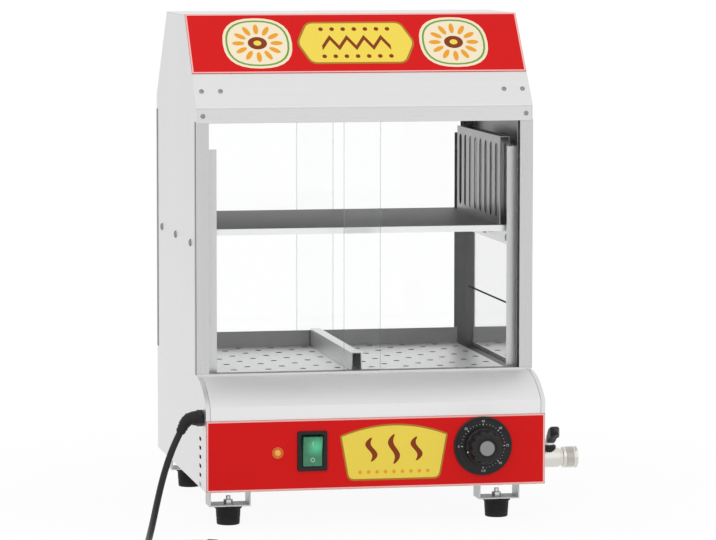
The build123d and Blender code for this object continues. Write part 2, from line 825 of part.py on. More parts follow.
with BuildPart() as tray_divider:
    with BuildSketch(facing(tray_front + divider_end_gap)):
        with Locations((divider_x, tray_height + pane_play)):
            Rectangle(divider_width, divider_height, align=(Align.CENTER, Align.MIN))
            Rectangle(
                divider_width - 2 * sheet,
                divider_height - sheet,
                align=(Align.CENTER, Align.MIN),
                mode=Mode.SUBTRACT,
            )
    extrude(amount=-(tray_length - sheet - 2 * divider_end_gap))
    fillet(tray_divider.faces().sort_by(Axis.Z)[-1].edges().filter_by(Axis.Y), divider_round)
write(tray_divider, "tray_divider")

# ---------------------------------------------------------------- drain
with BuildPart() as drain_elbow:
    with BuildLine():
        elbow_path = FilletPolyline(
            (elbow_x, drain_y, pan_floor),
            (elbow_x, drain_y, drain_z),
            (half - valve_spigot, drain_y, drain_z),
            radius=elbow_bend,
        )
    with BuildSketch(Plane(origin=elbow_path @ 0, z_dir=elbow_path % 0)):
        Circle(pipe_radius)
        Circle(pipe_bore, mode=Mode.SUBTRACT)
    sweep()
write(drain_elbow, "drain_elbow")

nut_start = valve_reach - valve_nut_length
groove_start = nut_start - valve_groove[0]
groove_floor = valve_body_radius - valve_groove[1]
outlet_start = valve_stem_x + ball_radius + ball_gap + seat_length
with BuildPart() as valve_body:
    with BuildSketch(Plane(origin=(half, drain_y, drain_z), x_dir=(1, 0, 0), z_dir=(0, -1, 0))):
        with BuildLine():
            Polyline(
                (-valve_spigot, pipe_bore),
                (-valve_spigot, pipe_radius),
                (0, pipe_radius),
                (0, valve_nut_radius),
                (valve_shoulder, valve_nut_radius),
                (valve_shoulder + 2 * valve_chamfer, valve_body_radius),
                (groove_start, valve_body_radius),
                (groove_start, groove_floor),
                (nut_start, groove_floor),
                (nut_start, valve_nut_radius - valve_chamfer),
                (nut_start + valve_chamfer, valve_nut_radius),
                (valve_reach - valve_chamfer, valve_nut_radius),
                (valve_reach, valve_nut_radius - valve_chamfer),
                (valve_reach, valve_bore),
                (outlet_start, valve_bore),
                (outlet_start, pipe_bore),
                close=True,
            )
        make_face()
    revolve(axis=Axis((half, drain_y, drain_z), (1, 0, 0)))
    with BuildSketch(Plane.XY.offset(drain_z)):
        with Locations((valve_x, drain_y)):
            Circle(boss_radius)
    extrude(amount=boss_top - drain_z)
    with Locations((valve_x, drain_y, drain_z)):
        Sphere(ball_radius + ball_gap, mode=Mode.SUBTRACT)
        Cylinder(
            stem_radius + stem_gap,
            boss_top,
            align=(Align.CENTER, Align.CENTER, Align.MIN),
            mode=Mode.SUBTRACT,
        )
write(valve_body, "valve_body")

with BuildPart() as valve_ball:
    with Locations((valve_x, drain_y, drain_z)):
        Sphere(ball_radius)
        Cylinder(
            stem_radius,
            boss_top - drain_z + stem_grip,
            align=(Align.CENTER, Align.CENTER, Align.MIN),
        )
    with Locations(Location((valve_x, drain_y, drain_z), (90, 0, 0))):
        Cylinder(ball_bore, 4 * ball_radius, mode=Mode.SUBTRACT)
write(valve_ball, "valve_ball")

lever_tip = drain_y - lever_reach
with BuildPart() as valve_lever:
    with BuildSketch(Plane.XY.offset(boss_top + pane_play)):
        with Locations((valve_x, drain_y)):
            Circle(lever_hub_radius)
    extrude(amount=lever_hub_top - boss_top - pane_play)
    with BuildSketch(profile(valve_x)):
        with BuildLine():
            Polyline(
                (drain_y + lever_width / 2, lever_hub_top - lever_root),
                (drain_y + lever_width / 2, lever_hub_top),
                (drain_y - lever_hub_radius, lever_hub_top),
                (drain_y - 3 * lever_hub_radius, lever_high),
                (lever_tip, lever_high),
                (lever_tip, lever_low),
                (drain_y - 4 * lever_hub_radius, lever_low),
                (drain_y - 1.5 * lever_hub_radius, lever_hub_top - lever_root),
                close=True,
            )
        make_face()
    extrude(amount=lever_width / 2, both=True)
    fillet(valve_lever.faces().sort_by(Axis.Y)[0].edges(), lever_round)
    with BuildSketch(Plane.XY.offset(boss_top)):
        with Locations((valve_x, drain_y)):
            Circle(stem_radius)
    extrude(amount=stem_grip, mode=Mode.SUBTRACT)
write(valve_lever, "valve_lever")

# ---------------------------------------------------------------- controls
with BuildPart() as switch_body:
    with BuildSketch(facing(0)):
        with Locations((switch_x, switch_z)):
            RectangleRounded(bezel_width, bezel_tall, bezel_corner)
    extrude(amount=bezel_height, taper=bezel_draft)
    with BuildSketch(facing(0)):
        with Locations((switch_x, switch_z)):
            Rectangle(*switch_barrel)
    extrude(amount=-switch_depth)
    with BuildSketch(facing(-bezel_height)):
        with Locations((switch_x, switch_z)):
            Rectangle(rocker_width + 2 * rocker_gap, rocker_tall + 2 * rocker_gap)
    extrude(amount=switch_back - switch_depth - bezel_height, mode=Mode.SUBTRACT)
    with BuildSketch(facing(switch_depth)):
        with Locations((switch_x, switch_z)):
            with GridLocations(*blade_pitch, 2, 2):
                Rectangle(*blade_size)
    extrude(amount=-blade_length)
write(switch_body, "switch_body")

with BuildPart() as switch_rocker:
    with BuildSketch(profile(switch_x).shift_origin((switch_x, 0, switch_z))):
        with BuildLine():
            Polyline(
                (-rocker_valley, 0),
                (-rocker_crest, rocker_tall / 2),
                (0, rocker_tall / 2),
                (rocker_back, rocker_tall / 2 - rocker_slope),
                (rocker_back, rocker_slope - rocker_tall / 2),
                (0, -rocker_tall / 2),
                (-rocker_crest, -rocker_tall / 2),
                close=True,
            )
        make_face()
    extrude(amount=rocker_width / 2, both=True)
rocker_axis = Axis((switch_x, 0, switch_z), (1, 0, 0))
switch_rocker.part = switch_rocker.part.rotate(rocker_axis, -rocker_tilt)
write(switch_rocker, "switch_rocker")

with BuildPart() as lamp_body:
    with BuildSketch(facing(0)):
        with Locations((lamp_x, lamp_z)):
            Circle(lamp_radius + lamp_rim)
    extrude(amount=lamp_rim)
    with BuildSketch(facing(0)):
        with Locations((lamp_x, lamp_z)):
            Circle(lamp_radius - lamp_fit)
    extrude(amount=-lamp_depth)
    with BuildSketch(facing(-lamp_rim)):
        with Locations((lamp_x, lamp_z)):
            Circle(lamp_radius - lamp_fit - lamp_wall)
    extrude(amount=-lamp_depth - lamp_rim, mode=Mode.SUBTRACT)
write(lamp_body, "lamp_body")

with BuildPart() as lamp_lens:
    with BuildSketch(facing(lens_depth)):
        with Locations((lamp_x, lamp_z)):
            Circle(lamp_radius - lamp_fit - lamp_wall)
    extrude(amount=lens_depth + lens_stand)
    fillet(lamp_lens.faces().sort_by(Axis.Y)[0].edges(), lens_round)
write(lamp_lens, "lamp_lens")

with BuildPart() as thermostat:
    with BuildSketch(facing(steel_front + sheet)):
        with Locations((dial_x, dial_z)):
            Circle(thermostat_radius)
    extrude(amount=-thermostat_depth)
    chamfer(thermostat.faces().sort_by(Axis.Y)[-1].edges(), thermostat_chamfer)
    with BuildSketch(facing(0)):
        with Locations((dial_x, dial_z)):
            Circle(shaft_radius + stem_gap)
    extrude(amount=-thermostat_bore, mode=Mode.SUBTRACT)
write(thermostat, "thermostat")

with BuildPart() as thermostat_shaft:
    with BuildSketch(facing(shaft_buried)):
        with Locations((dial_x, dial_z)):
            Circle(shaft_radius)
    extrude(amount=shaft_buried + knob_back + knob_socket)
write(thermostat_shaft, "thermostat_shaft")

with BuildPart() as dial_bezel:
    with BuildSketch(facing(0)):
        with Locations((dial_x, dial_z)):
            Circle(dial_radius)
            Circle(dial_hole, mode=Mode.SUBTRACT)
    extrude(amount=dial_thickness)
    chamfer(dial_bezel.faces().sort_by(Axis.Y)[0].edges().sort_by(SortBy.LENGTH)[-1], dial_chamfer)
write(dial_bezel, "dial_bezel")

with BuildPart() as thermostat_knob:
    with BuildSketch(facing(-knob_back)):
        with Locations((dial_x, dial_z)):
            Circle(knob_radius)
    extrude(amount=knob_skirt)
    with BuildSketch(facing(-knob_back - knob_skirt)):
        with Locations((dial_x, dial_z)):
            Circle(knob_radius - knob_step)
    extrude(amount=knob_length - knob_skirt, taper=knob_draft)
    fillet(thermostat_knob.faces().sort_by(Axis.Y)[0].edges(), knob_round)
    with BuildSketch(facing(-knob_back - knob_skirt)):
        with Locations((dial_x, dial_z)):
            with PolarLocations(knob_radius - flute_radius / 2, flute_count):
                Circle(flute_radius)
    extrude(amount=knob_length, mode=Mode.SUBTRACT)
    with BuildSketch(facing(-knob_back - knob_length)):
        with Locations((dial_x, dial_z)):
            Circle(cap_radius)
    extrude(amount=-cap_recess, mode=Mode.SUBTRACT)
    with BuildSketch(facing(-knob_back)):
        with Locations((dial_x, dial_z)):
            Circle(shaft_radius)
    extrude(amount=knob_socket, mode=Mode.SUBTRACT)
write(thermostat_knob, "thermostat_knob")

with BuildPart() as knob_cap:
    with BuildSketch(facing(-knob_back - knob_length + cap_recess)):
        with Locations((dial_x, dial_z)):
            Circle(cap_radius)
    extrude(amount=cap_thickness)
write(knob_cap, "knob_cap")

# ---------------------------------------------------------------- mains lead
cord_points = [
    (-198.5, 22.0, 108.5),
    (-207.0, 20.5, 93.0),
    (-216.5, 13.5, 74.0),
    (-225.5, 0.0, 53.5),
    (-234.0, -21.0, 34.0),
    (-243.0, -50.0, 16.0),
    (-252.0, -84.0, 4.8),
    (-259.0, -118.0, 3.6),
    (-263.0, -148.0, 3.6),
    (-264.0, -176.0, 3.6),
]
lead_points = [
    (-263.2, -204.0, 10.4),
    (-263.0, -224.0, 9.6),
    (-261.0, -244.0, 13.0),
    (-259.0, -263.0, 18.0),
    (-259.0, -281.0, 18.0),
]


def corner_radii(points):
    """Each corner's arc: 0.45 of its shorter run over the tangent of half its turn."""
    vectors = [Vector(*point) for point in points]
    runs = [b - a for a, b in zip(vectors, vectors[1:])]
    return [
        0.45 * min(before.length, after.length) / tan(radians(before.get_angle(after) / 2))
        for before, after in zip(runs, runs[1:])
    ]


def lead_line(points):
    """Straight runs joined by the largest tangent arcs that they allow."""
    return FilletPolyline(*points, radius=corner_radii(points))


with BuildPart() as power_cord:
    with BuildLine():
        cord_line = lead_line(cord_points)
    with BuildSketch(Plane(origin=cord_line @ 0, z_dir=cord_line % 0)):
        Circle(cord_radius)
    sweep()
write(power_cord, "power_cord")

with BuildPart() as plug_lead:
    with BuildLine():
        plug_line = lead_line(lead_points)
    with BuildSketch(Plane(origin=plug_line @ 0, z_dir=plug_line % 0)):
        Circle(cord_radius)
    sweep()
write(plug_lead, "plug_lead")

with BuildPart() as cord_coil:
    with BuildSketch():
        with Locations((coil_x, coil_y)):
            Circle(coil_outer)
            Circle(coil_inner, mode=Mode.SUBTRACT)
    extrude(amount=coil_height)
write(cord_coil, "cord_coil")

exit_point = Vector(*cord_points[0])
sleeve_middle = (-half - gland_nut - sleeve_run, gland_y, gland_z - sleeve_drop)
with BuildPart() as cord_gland:
    with BuildSketch(profile(-half)):
        with Locations((gland_y, gland_z)):
            RegularPolygon(gland_hex_radius, 6)
    extrude(amount=-gland_nut)
    with BuildSketch(profile(-half - gland_nut)):
        with Locations((gland_y, gland_z)):
            Circle(gland_radius)
    with BuildSketch(Plane(origin=sleeve_middle, z_dir=sleeve_way)):
        Circle(sleeve_radius)
    with BuildSketch(Plane(origin=exit_point, z_dir=Vector(*cord_points[1]) - exit_point)):
        Circle(cord_radius + sleeve_wall)
    loft()
    with BuildSketch(profile(-half)):
        with Locations((gland_y, gland_z)):
            Circle(gland_thread_radius)
    extrude(amount=gland_thread)
write(cord_gland, "cord_gland")

plug_rear = Vector(*lead_points[-1])
with BuildPart() as power_plug:
    with BuildSketch(Plane(origin=plug_rear, x_dir=(1, 0, 0), z_dir=(0, 0, 1))):
        with BuildLine():
            Polyline(
                (0, 0),
                (plug_waist, 0),
                (plug_neck, -plug_length * 0.45),
                (plug_radius - plug_edge, -plug_length * 0.6),
                (plug_radius, -plug_length * 0.72),
                (plug_radius, -plug_length),
                (0, -plug_length),
                close=True,
            )
        make_face()
    revolve(axis=Axis(plug_rear, (0, 1, 0)))
    with BuildSketch(facing(plug_rear.Y - plug_length)):
        with Locations([(plug_rear.X + sign * pin_spread, plug_rear.Z) for _, sign in SIDES]):
            Circle(pin_radius)
    extrude(amount=pin_length)
write(power_plug, "power_plug")

print("cord radii", [round(radius) for radius in corner_radii(cord_points)])
print("plug lead radii", [round(radius) for radius in corner_radii(lead_points)])
print("cord length", round(cord_line.length), "plug lead", round(plug_line.length))
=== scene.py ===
"""Dressed model of a tabletop hot dog steamer.

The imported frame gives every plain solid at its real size. This script gives the sheet metal its
folded edges and brushed grain, and makes the glass, the printed plates, the controls, the drain
valve, the feet and the mains lead. All lengths are in metres unless a name says otherwise.
"""

from __future__ import annotations

import json
import logging
import math
from dataclasses import dataclass, field
from enum import Enum
from typing import Any, Mapping, Optional, Sequence

import bmesh
import bpy
import numpy as np
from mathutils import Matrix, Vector

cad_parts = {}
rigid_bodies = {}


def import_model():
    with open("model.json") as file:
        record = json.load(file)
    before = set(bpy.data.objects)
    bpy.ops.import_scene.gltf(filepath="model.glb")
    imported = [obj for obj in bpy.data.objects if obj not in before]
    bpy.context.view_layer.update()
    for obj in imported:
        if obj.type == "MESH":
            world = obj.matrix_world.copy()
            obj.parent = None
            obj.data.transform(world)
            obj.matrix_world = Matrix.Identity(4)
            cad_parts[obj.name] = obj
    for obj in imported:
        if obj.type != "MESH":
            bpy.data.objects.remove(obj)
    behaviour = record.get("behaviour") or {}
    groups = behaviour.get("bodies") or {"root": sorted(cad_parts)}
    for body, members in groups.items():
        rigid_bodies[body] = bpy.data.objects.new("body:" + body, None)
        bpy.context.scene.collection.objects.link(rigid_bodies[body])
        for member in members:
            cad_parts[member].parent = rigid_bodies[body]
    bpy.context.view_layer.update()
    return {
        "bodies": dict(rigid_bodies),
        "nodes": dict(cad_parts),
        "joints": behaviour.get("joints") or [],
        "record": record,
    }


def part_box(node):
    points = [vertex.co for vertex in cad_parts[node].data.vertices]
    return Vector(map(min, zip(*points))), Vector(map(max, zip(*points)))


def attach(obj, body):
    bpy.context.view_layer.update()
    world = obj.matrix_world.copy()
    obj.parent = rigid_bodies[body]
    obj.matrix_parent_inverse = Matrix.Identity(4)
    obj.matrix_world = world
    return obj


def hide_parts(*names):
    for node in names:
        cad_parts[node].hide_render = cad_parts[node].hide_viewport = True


LOG = logging.getLogger("steamer")
MM = 0.001
Colour = tuple[float, float, float]
Point = tuple[float, float, float]
Array = np.ndarray


# ---------------------------------------------------------------------------------- shader maths
class Signal:
    """A shader socket that takes part in arithmetic: each operator adds its Math node."""

    def __init__(self, graph: "FinishGraph", socket: bpy.types.NodeSocket) -> None:
        """Wrap one output socket of a graph."""
        self.graph = graph
        self.socket = socket

    def _maths(self, operation: str, first: Any, second: Any) -> "Signal":
        """Add a Math node that joins two values or sockets."""
        return self.graph.node("ShaderNodeMath", {"operation": operation}, {0: first, 1: second})

    def __add__(self, other: Any) -> "Signal":
        """Sum."""
        return self._maths("ADD", self, other)

    __radd__ = __add__

    def __sub__(self, other: Any) -> "Signal":
        """Difference."""
        return self._maths("SUBTRACT", self, other)

    def __rsub__(self, other: Any) -> "Signal":
        """Difference with the value first."""
        return self._maths("SUBTRACT", other, self)

    def __mul__(self, other: Any) -> "Signal":
        """Product."""
        return self._maths("MULTIPLY", self, other)

    __rmul__ = __mul__

    def __truediv__(self, other: Any) -> "Signal":
        """Quotient."""
        return self._maths("DIVIDE", self, other)

    def __pow__(self, other: Any) -> "Signal":
        """Power."""
        return self._maths("POWER", self, other)

    def at_least(self, other: Any) -> "Signal":
        """The larger of the two."""
        return self._maths("MAXIMUM", self, other)

    def wave(self) -> "Signal":
        """Sine."""
        return self._maths("SINE", self, 0.0)

    def size(self) -> "Signal":
        """Absolute value."""
        return self._maths("ABSOLUTE", self, 0.0)

    def step(self, low: float, high: float) -> "Signal":
        """Smooth step from 0 at low to 1 at high."""
        settings = {"interpolation_type": "SMOOTHSTEP"}
        inputs = {"Value": self, "From Min": low, "From Max": high, "To Min": 0.0, "To Max": 1.0}
        return self.graph.node("ShaderNodeMapRange", settings, inputs)


class FinishGraph:
    """The node graph of one material."""

    def __init__(self, name: str, world: Optional[bpy.types.World] = None) -> None:
        """Start an empty material of that name, or empty a world's nodes."""
        self.material = bpy.data.materials.new(name) if world is None else world
        self.material.use_nodes = True
        self.tree = self.material.node_tree
        self.tree.nodes.clear()

    def node(self, kind: str, settings: Mapping[str, Any], inputs: Mapping[Any, Any]) -> Signal:
        """Add a node and return its first shown output.

        Args:
            kind: The node's type name.
            settings: Properties set before the inputs; "stops" holds a ramp's positions and colours.
            inputs: Values or signals by socket name or number.

        Returns:
            The first enabled output as a signal.
        """
        made = self.tree.nodes.new(kind)
        for key, value in settings.items():
            if key == "stops":
                self._set_stops(made, value)
            else:
                setattr(made, key, value)
        for key, value in inputs.items():
            socket = self._input(made, key)
            if isinstance(value, Signal):
                self.tree.links.new(value.socket, socket)
            else:
                socket.default_value = self._fitted(socket, value)
        shown = [output for output in made.outputs if output.enabled]
        return Signal(self, shown[0]) if shown else Signal(self, None)

    @staticmethod
    def _set_stops(ramp: bpy.types.Node, stops: Sequence[tuple[float, Colour]]) -> None:
        """Give a colour ramp its stops."""
        elements = ramp.color_ramp.elements
        for index, (position, colour) in enumerate(stops):
            stop = elements[index] if index < len(elements) else elements.new(position)
            stop.position = position
            stop.color = (*colour, 1.0)

    @staticmethod
    def _input(made: bpy.types.Node, key: Any) -> bpy.types.NodeSocket:
        """Find an input by number, or the enabled one of that name."""
        if isinstance(key, int):
            return made.inputs[key]
        return next(socket for socket in made.inputs if socket.name == key and socket.enabled)

    @staticmethod
    def _fitted(socket: bpy.types.NodeSocket, value: Any) -> Any:
        """Give a colour its alpha."""
        if socket.type == "RGBA" and len(value) == 3:
            return (*value, 1.0)
        return value

    def output(self, signal: Signal, name: str) -> Signal:
        """Another output of the node behind a signal."""
        return Signal(self, signal.socket.node.outputs[name])

    def place(self) -> Signal:
        """Object coordinates, which are the part's own metres."""
        return self.output(self.node("ShaderNodeTexCoord", {}, {}), "Object")

    def axes(self) -> tuple[Signal, Signal, Signal]:
        """The X, Y and Z of the place on the object."""
        split = self.node("ShaderNodeSeparateXYZ", {}, {"Vector": self.place()})
        return split, self.output(split, "Y"), self.output(split, "Z")

    def noise(self, stretch: Point, detail: float = 2.0, roughness: float = 0.5) -> Signal:
        """Noise with so many cells per metre along X, Y and Z."""
        where = self.node("ShaderNodeMapping", {}, {"Vector": self.place(), "Scale": stretch})
        inputs = {"Vector": where, "Scale": 1.0, "Detail": detail, "Roughness": roughness}
        return self.node("ShaderNodeTexNoise", {}, inputs)

    def blend(self, share: Any, first: Any, second: Any) -> Signal:
        """Mix two colours: share 0 gives the first, 1 the second."""
        mixed = self.node("ShaderNodeMix", {"data_type": "RGBA"}, {0: share, 6: first, 7: second})
        return Signal(self, mixed.socket.node.outputs[2])

    def relief(self, height: Any, depth: float, strength: float = 1.0) -> Signal:
        """A normal bumped by a height signal of 0 to 1 over a depth in metres."""
        inputs = {"Height": height, "Distance": depth, "Strength": strength}
        return self.node("ShaderNodeBump", {}, inputs)

    def principled(self, inputs: Mapping[str, Any]) -> Signal:
        """A Principled shader."""
        return self.node("ShaderNodeBsdfPrincipled", {}, inputs)

    def finish(self, shader: Signal) -> bpy.types.Material:
        """Send a shader to the output and hand over the material."""
        self.node("ShaderNodeOutputMaterial", {}, {"Surface": shader})
        return self.material


class Grain(Enum):
    """The way a sheet was brushed."""

    ACROSS = (14.0, 2600.0, 2600.0)
    DEEP = (2600.0, 14.0, 2600.0)
    UPRIGHT = (2600.0, 2600.0, 14.0)
    NONE = (420.0, 420.0, 420.0)


class Looking(Enum):
    """The way that some faces of a sheet look, which picks the faces that take a darker copy of their steel
    as painted shade; inward is towards this point of the chamber.
    """

    INWARD = (0.0, 204.0, 230.0)
    FORWARD = (0.0, -1.0, 0.0)
    UP = (0.0, 0.0, 1.0)
    LEVEL = (0.0, 0.0, 0.0)


# ---------------------------------------------------------------------------------- finishes
@dataclass(frozen=True)
class Finish:
    """What every finish has: a name and a way to make its material."""

    name: str

    def build(self) -> bpy.types.Material:
        """Make the material."""
        raise NotImplementedError


@dataclass(frozen=True)
class BrushedSteel(Finish):
    """Stainless sheet with a fine directional grain, handling smears and a few hairline scratches."""

    tone: float = 0.7
    roughness: float = 0.34
    grain: Grain = Grain.ACROSS
    depth: float = 0.012 * MM
    tint: Colour = (1.0, 1.0, 1.0)
    spread: float = 0.05
    smear: float = 0.06
    slant: float = 1.0
    metal: float = 1.0
    # depth behind which the steel is painted near black as shade
    shaded_behind: Optional[float] = None

    def build(self) -> bpy.types.Material:
        """Streaks follow the grain; patches of a hand's size lift the roughness a little.

        Where a depth is given, the steel behind it is painted near black as shade deep in the chamber.
        """
        g = FinishGraph(self.name)
        streak = g.noise(self.grain.value, 3.0, 0.6)
        long_streak = g.noise(tuple(0.22 * cells for cells in self.grain.value), 1.0)
        patch = g.noise((9.0, 9.0, 9.0), 3.0, 0.55)
        scratch = g.noise((70.0, 900.0, 240.0), 0.0).step(0.735, 0.76)
        light = tuple(min(1.0, self.tone * part * (1 + self.spread)) for part in self.tint)
        dark = tuple(self.tone * part * (1 - self.spread) for part in self.tint)
        colour = g.blend(streak * 0.6 + long_streak * 0.4, dark, light)
        rough = (streak - 0.5) * 0.16 + self.roughness + (patch - 0.5) * self.smear + scratch * 0.05
        # painted shade: behind the given depth the colour turns near black
        if self.shaded_behind is not None:
            _, deep, _ = g.axes()
            rear = deep.step(self.shaded_behind, self.shaded_behind + 10 * MM)
            colour = g.blend(rear, colour, (0.1, 0.1, 0.1))
        height = streak - scratch * 0.35
        return g.finish(
            g.principled(
                {
                    "Base Color": colour,
                    "Metallic": self.metal,
                    "Specular Tint": (self.slant,) * 3,
                    "Roughness": rough,
                    "Normal": g.relief(height, self.depth),
                }
            )
        )


@dataclass(frozen=True)
class ZincSheet(Finish):
    """Dull galvanised sheet with a faint spangle."""

    tone: float = 0.6

    def build(self) -> bpy.types.Material:
        """Cells of a few millimetres differ a little in tone and sheen."""
        g = FinishGraph(self.name)
        inputs = {"Vector": g.place(), "Scale": 260.0}
        cells = g.output(g.node("ShaderNodeTexVoronoi", {}, inputs), "Color")
        level = g.node("ShaderNodeSeparateXYZ", {}, {"Vector": cells})
        dirt = g.noise((38.0, 38.0, 38.0), 3.0)
        dark = (self.tone * 0.84,) * 3
        light = (self.tone, self.tone * 1.01, self.tone * 1.03)
        return g.finish(
            g.principled(
                {
                    "Base Color": g.blend(level * 0.6 + dirt * 0.4, dark, light),
                    "Metallic": 0.9,
                    "Roughness": level * 0.14 + 0.4,
                    "Normal": g.relief(g.noise((900.0, 900.0, 900.0)), 0.01 * MM),
                }
            )
        )


@dataclass(frozen=True)
class BrightMetal(Finish):
    """Plated, turned or polished metal with light marks."""

    colour: Colour = (0.75, 0.74, 0.72)
    roughness: float = 0.2
    rings: Optional[Point] = None

    def build(self) -> bpy.types.Material:
        """Turning rings run round a centre when one is given, and fine marks cover the rest."""
        g = FinishGraph(self.name)
        marks = g.noise((700.0, 700.0, 700.0), 3.0, 0.6)
        height = marks
        if self.rings is not None:
            shifted = g.node(
                "ShaderNodeVectorMath", {"operation": "SUBTRACT"}, {0: g.place(), 1: self.rings}
            )
            reach = g.output(
                g.node("ShaderNodeVectorMath", {"operation": "LENGTH"}, {0: shifted}), "Value"
            )
            height = (reach * 9000.0).wave() * 0.3 + marks * 0.5
        dull = tuple(0.88 * part for part in self.colour)
        return g.finish(
            g.principled(
                {
                    "Base Color": g.blend(marks, dull, self.colour),
                    "Metallic": 1.0,
                    "Roughness": marks * 0.12 + (self.roughness - 0.06),
                    "Normal": g.relief(height, 0.012 * MM),
                }
            )
        )


@dataclass(frozen=True)
class Enamel(Finish):
    """A glossy printed or lacquered face with slight orange peel."""

    colour: Colour = (0.66, 0.008, 0.008)
    roughness: float = 0.42
    gloss: float = 0.1

    def build(self) -> bpy.types.Material:
        """Broad drifts of tone and small ripples in the lacquer."""
        g = FinishGraph(self.name)
        drift = g.noise((7.0, 7.0, 7.0), 2.0)
        peel = g.noise((340.0, 340.0, 340.0), 2.0)
        deep = tuple(0.93 * part for part in self.colour)
        return g.finish(
            g.principled(
                {
                    "Base Color": g.blend(drift, deep, self.colour),
                    "Roughness": (peel - 0.5) * 0.08 + self.roughness + (drift - 0.5) * 0.06,
                    "Specular IOR Level": self.gloss,
                    "Normal": g.relief(peel, 0.01 * MM),
                }
            )
        )


@dataclass(frozen=True)
class MouldedPlastic(Finish):
    """Moulded plastic with a fine spark-eroded grain."""

    colour: Colour = (0.012, 0.012, 0.013)
    roughness: float = 0.42
    grain_depth: float = 0.015 * MM
    gloss: float = 0.22

    def build(self) -> bpy.types.Material:
        """Pits of a quarter millimetre, and shinier patches where fingers go."""
        g = FinishGraph(self.name)
        pits = g.noise((3200.0, 3200.0, 3200.0), 2.0)
        rub = g.noise((60.0, 60.0, 60.0), 2.0)
        worn = tuple(min(1.0, part * 1.5 + 0.004) for part in self.colour)
        return g.finish(
            g.principled(
                {
                    "Base Color": g.blend(rub * 0.5, self.colour, worn),
                    "Specular IOR Level": self.gloss,
                    "Roughness": pits * 0.12 + (self.roughness - 0.1) + rub * 0.08,
                    "Normal": g.relief(pits, self.grain_depth),
                }
            )
        )


@dataclass(frozen=True)
class FootRubber(Finish):
    """Black rubber with a bloom of dust low down."""

    def build(self) -> bpy.types.Material:
        """The lowest millimetres are greyer than the rest."""
        g = FinishGraph(self.name)
        _, _, height = g.axes()
        speck = g.noise((1500.0, 1500.0, 1500.0), 3.0)
        dust = (1.0 - height.step(0.0, 9 * MM)) * 0.5 + g.noise((120.0, 120.0, 120.0)) * 0.3
        return g.finish(
            g.principled(
                {
                    "Base Color": g.blend(dust, (0.009, 0.009, 0.009), (0.03, 0.029, 0.028)),
                    "Specular IOR Level": 0.15,
                    "Roughness": speck * 0.18 + 0.46,
                    "Normal": g.relief(speck, 0.03 * MM),
                }
            )
        )


@dataclass(frozen=True)
class ClearPane(Finish):
    """Clear float glass: it shows what is behind it and mirrors the room at a slant."""

    def build(self) -> bpy.types.Material:
        """A Fresnel share of polished reflection over a faintly tinted see-through layer."""
        g = FinishGraph(self.name)
        clear = g.node("ShaderNodeBsdfTransparent", {}, {"Color": (0.997, 0.999, 0.998)})
        wipe = g.noise((16.0, 16.0, 90.0), 3.0, 0.6).step(0.5, 0.9)
        gloss = g.principled(
            {"Base Color": (0.96, 0.97, 0.965), "Metallic": 1.0, "Roughness": wipe * 0.05 + 0.02}
        )
        share = g.node("ShaderNodeFresnel", {}, {"IOR": 1.3}) * 0.5 + wipe * 0.005
        return g.finish(g.node("ShaderNodeMixShader", {}, {0: share, 1: clear, 2: gloss}))


@dataclass(frozen=True)
class PaneEdge(Finish):
    """The ground edge of a pane, where the glass looks green-grey."""

    def build(self) -> bpy.types.Material:
        """A frosted, partly clear edge."""
        g = FinishGraph(self.name)
        frost = g.noise((1800.0, 1800.0, 1800.0), 2.0)
        clear = g.node("ShaderNodeBsdfTransparent", {}, {"Color": (0.86, 0.91, 0.89)})
        edge = g.principled(
            {
                "Base Color": g.blend(frost, (0.42, 0.52, 0.48), (0.6, 0.68, 0.65)),
                "Roughness": frost * 0.2 + 0.25,
            }
        )
        return g.finish(g.node("ShaderNodeMixShader", {}, {0: frost * 0.15 + 0.12, 1: clear, 2: edge}))


@dataclass(frozen=True)
class LitLens(Finish):
    """A translucent moulded lens with a lamp behind it."""

    colour: Colour = (0.02, 0.42, 0.16)
    glow: Colour = (0.1, 0.9, 0.4)
    centre: Point = (0.0, 0.0, 0.0)
    reach: float = 12 * MM
    strength: float = 0.5
    ribs: float = 0.0

    def build(self) -> bpy.types.Material:
        """The glow fades from the lamp's place, and ribs on the inner face show as fine lines."""
        g = FinishGraph(self.name)
        shifted = g.node(
            "ShaderNodeVectorMath", {"operation": "SUBTRACT"}, {0: g.place(), 1: self.centre}
        )
        away = g.output(g.node("ShaderNodeVectorMath", {"operation": "LENGTH"}, {0: shifted}), "Value")
        near = 1.0 - away.step(0.0, self.reach)
        cloud = g.noise((240.0, 240.0, 240.0), 2.0)
        lit = near * 0.75 + cloud * 0.25
        dark = tuple(0.45 * part for part in self.colour)
        inputs = {
            "Base Color": g.blend(lit, dark, self.colour),
            "Roughness": cloud * 0.08 + 0.16,
            "Coat Weight": 0.6,
            "Coat Roughness": 0.05,
            "Emission Color": g.blend(lit, (0.0, 0.0, 0.0), self.glow),
            "Emission Strength": self.strength,
        }
        if self.ribs:
            _, _, height = g.axes()
            inputs["Normal"] = g.relief((height * self.ribs).wave() * 0.5 + 0.5, 0.05 * MM)
        return g.finish(g.principled(inputs))


@dataclass(frozen=True)
class HeatedSheath(Finish):
    """Element sheath browned by heat."""

    def build(self) -> bpy.types.Material:
        """Straw and brown clouds over dark steel."""
        g = FinishGraph(self.name)
        cloud = g.noise((45.0, 45.0, 45.0), 4.0, 0.6)
        scale = g.noise((700.0, 700.0, 700.0), 3.0)
        return g.finish(
            g.principled(
                {
                    "Base Color": g.blend(cloud, (0.1, 0.085, 0.075), (0.28, 0.24, 0.2)),
                    "Metallic": 0.85,
                    "Roughness": scale * 0.25 + 0.35,
                    "Normal": g.relief(scale, 0.03 * MM),
                }
            )
        )


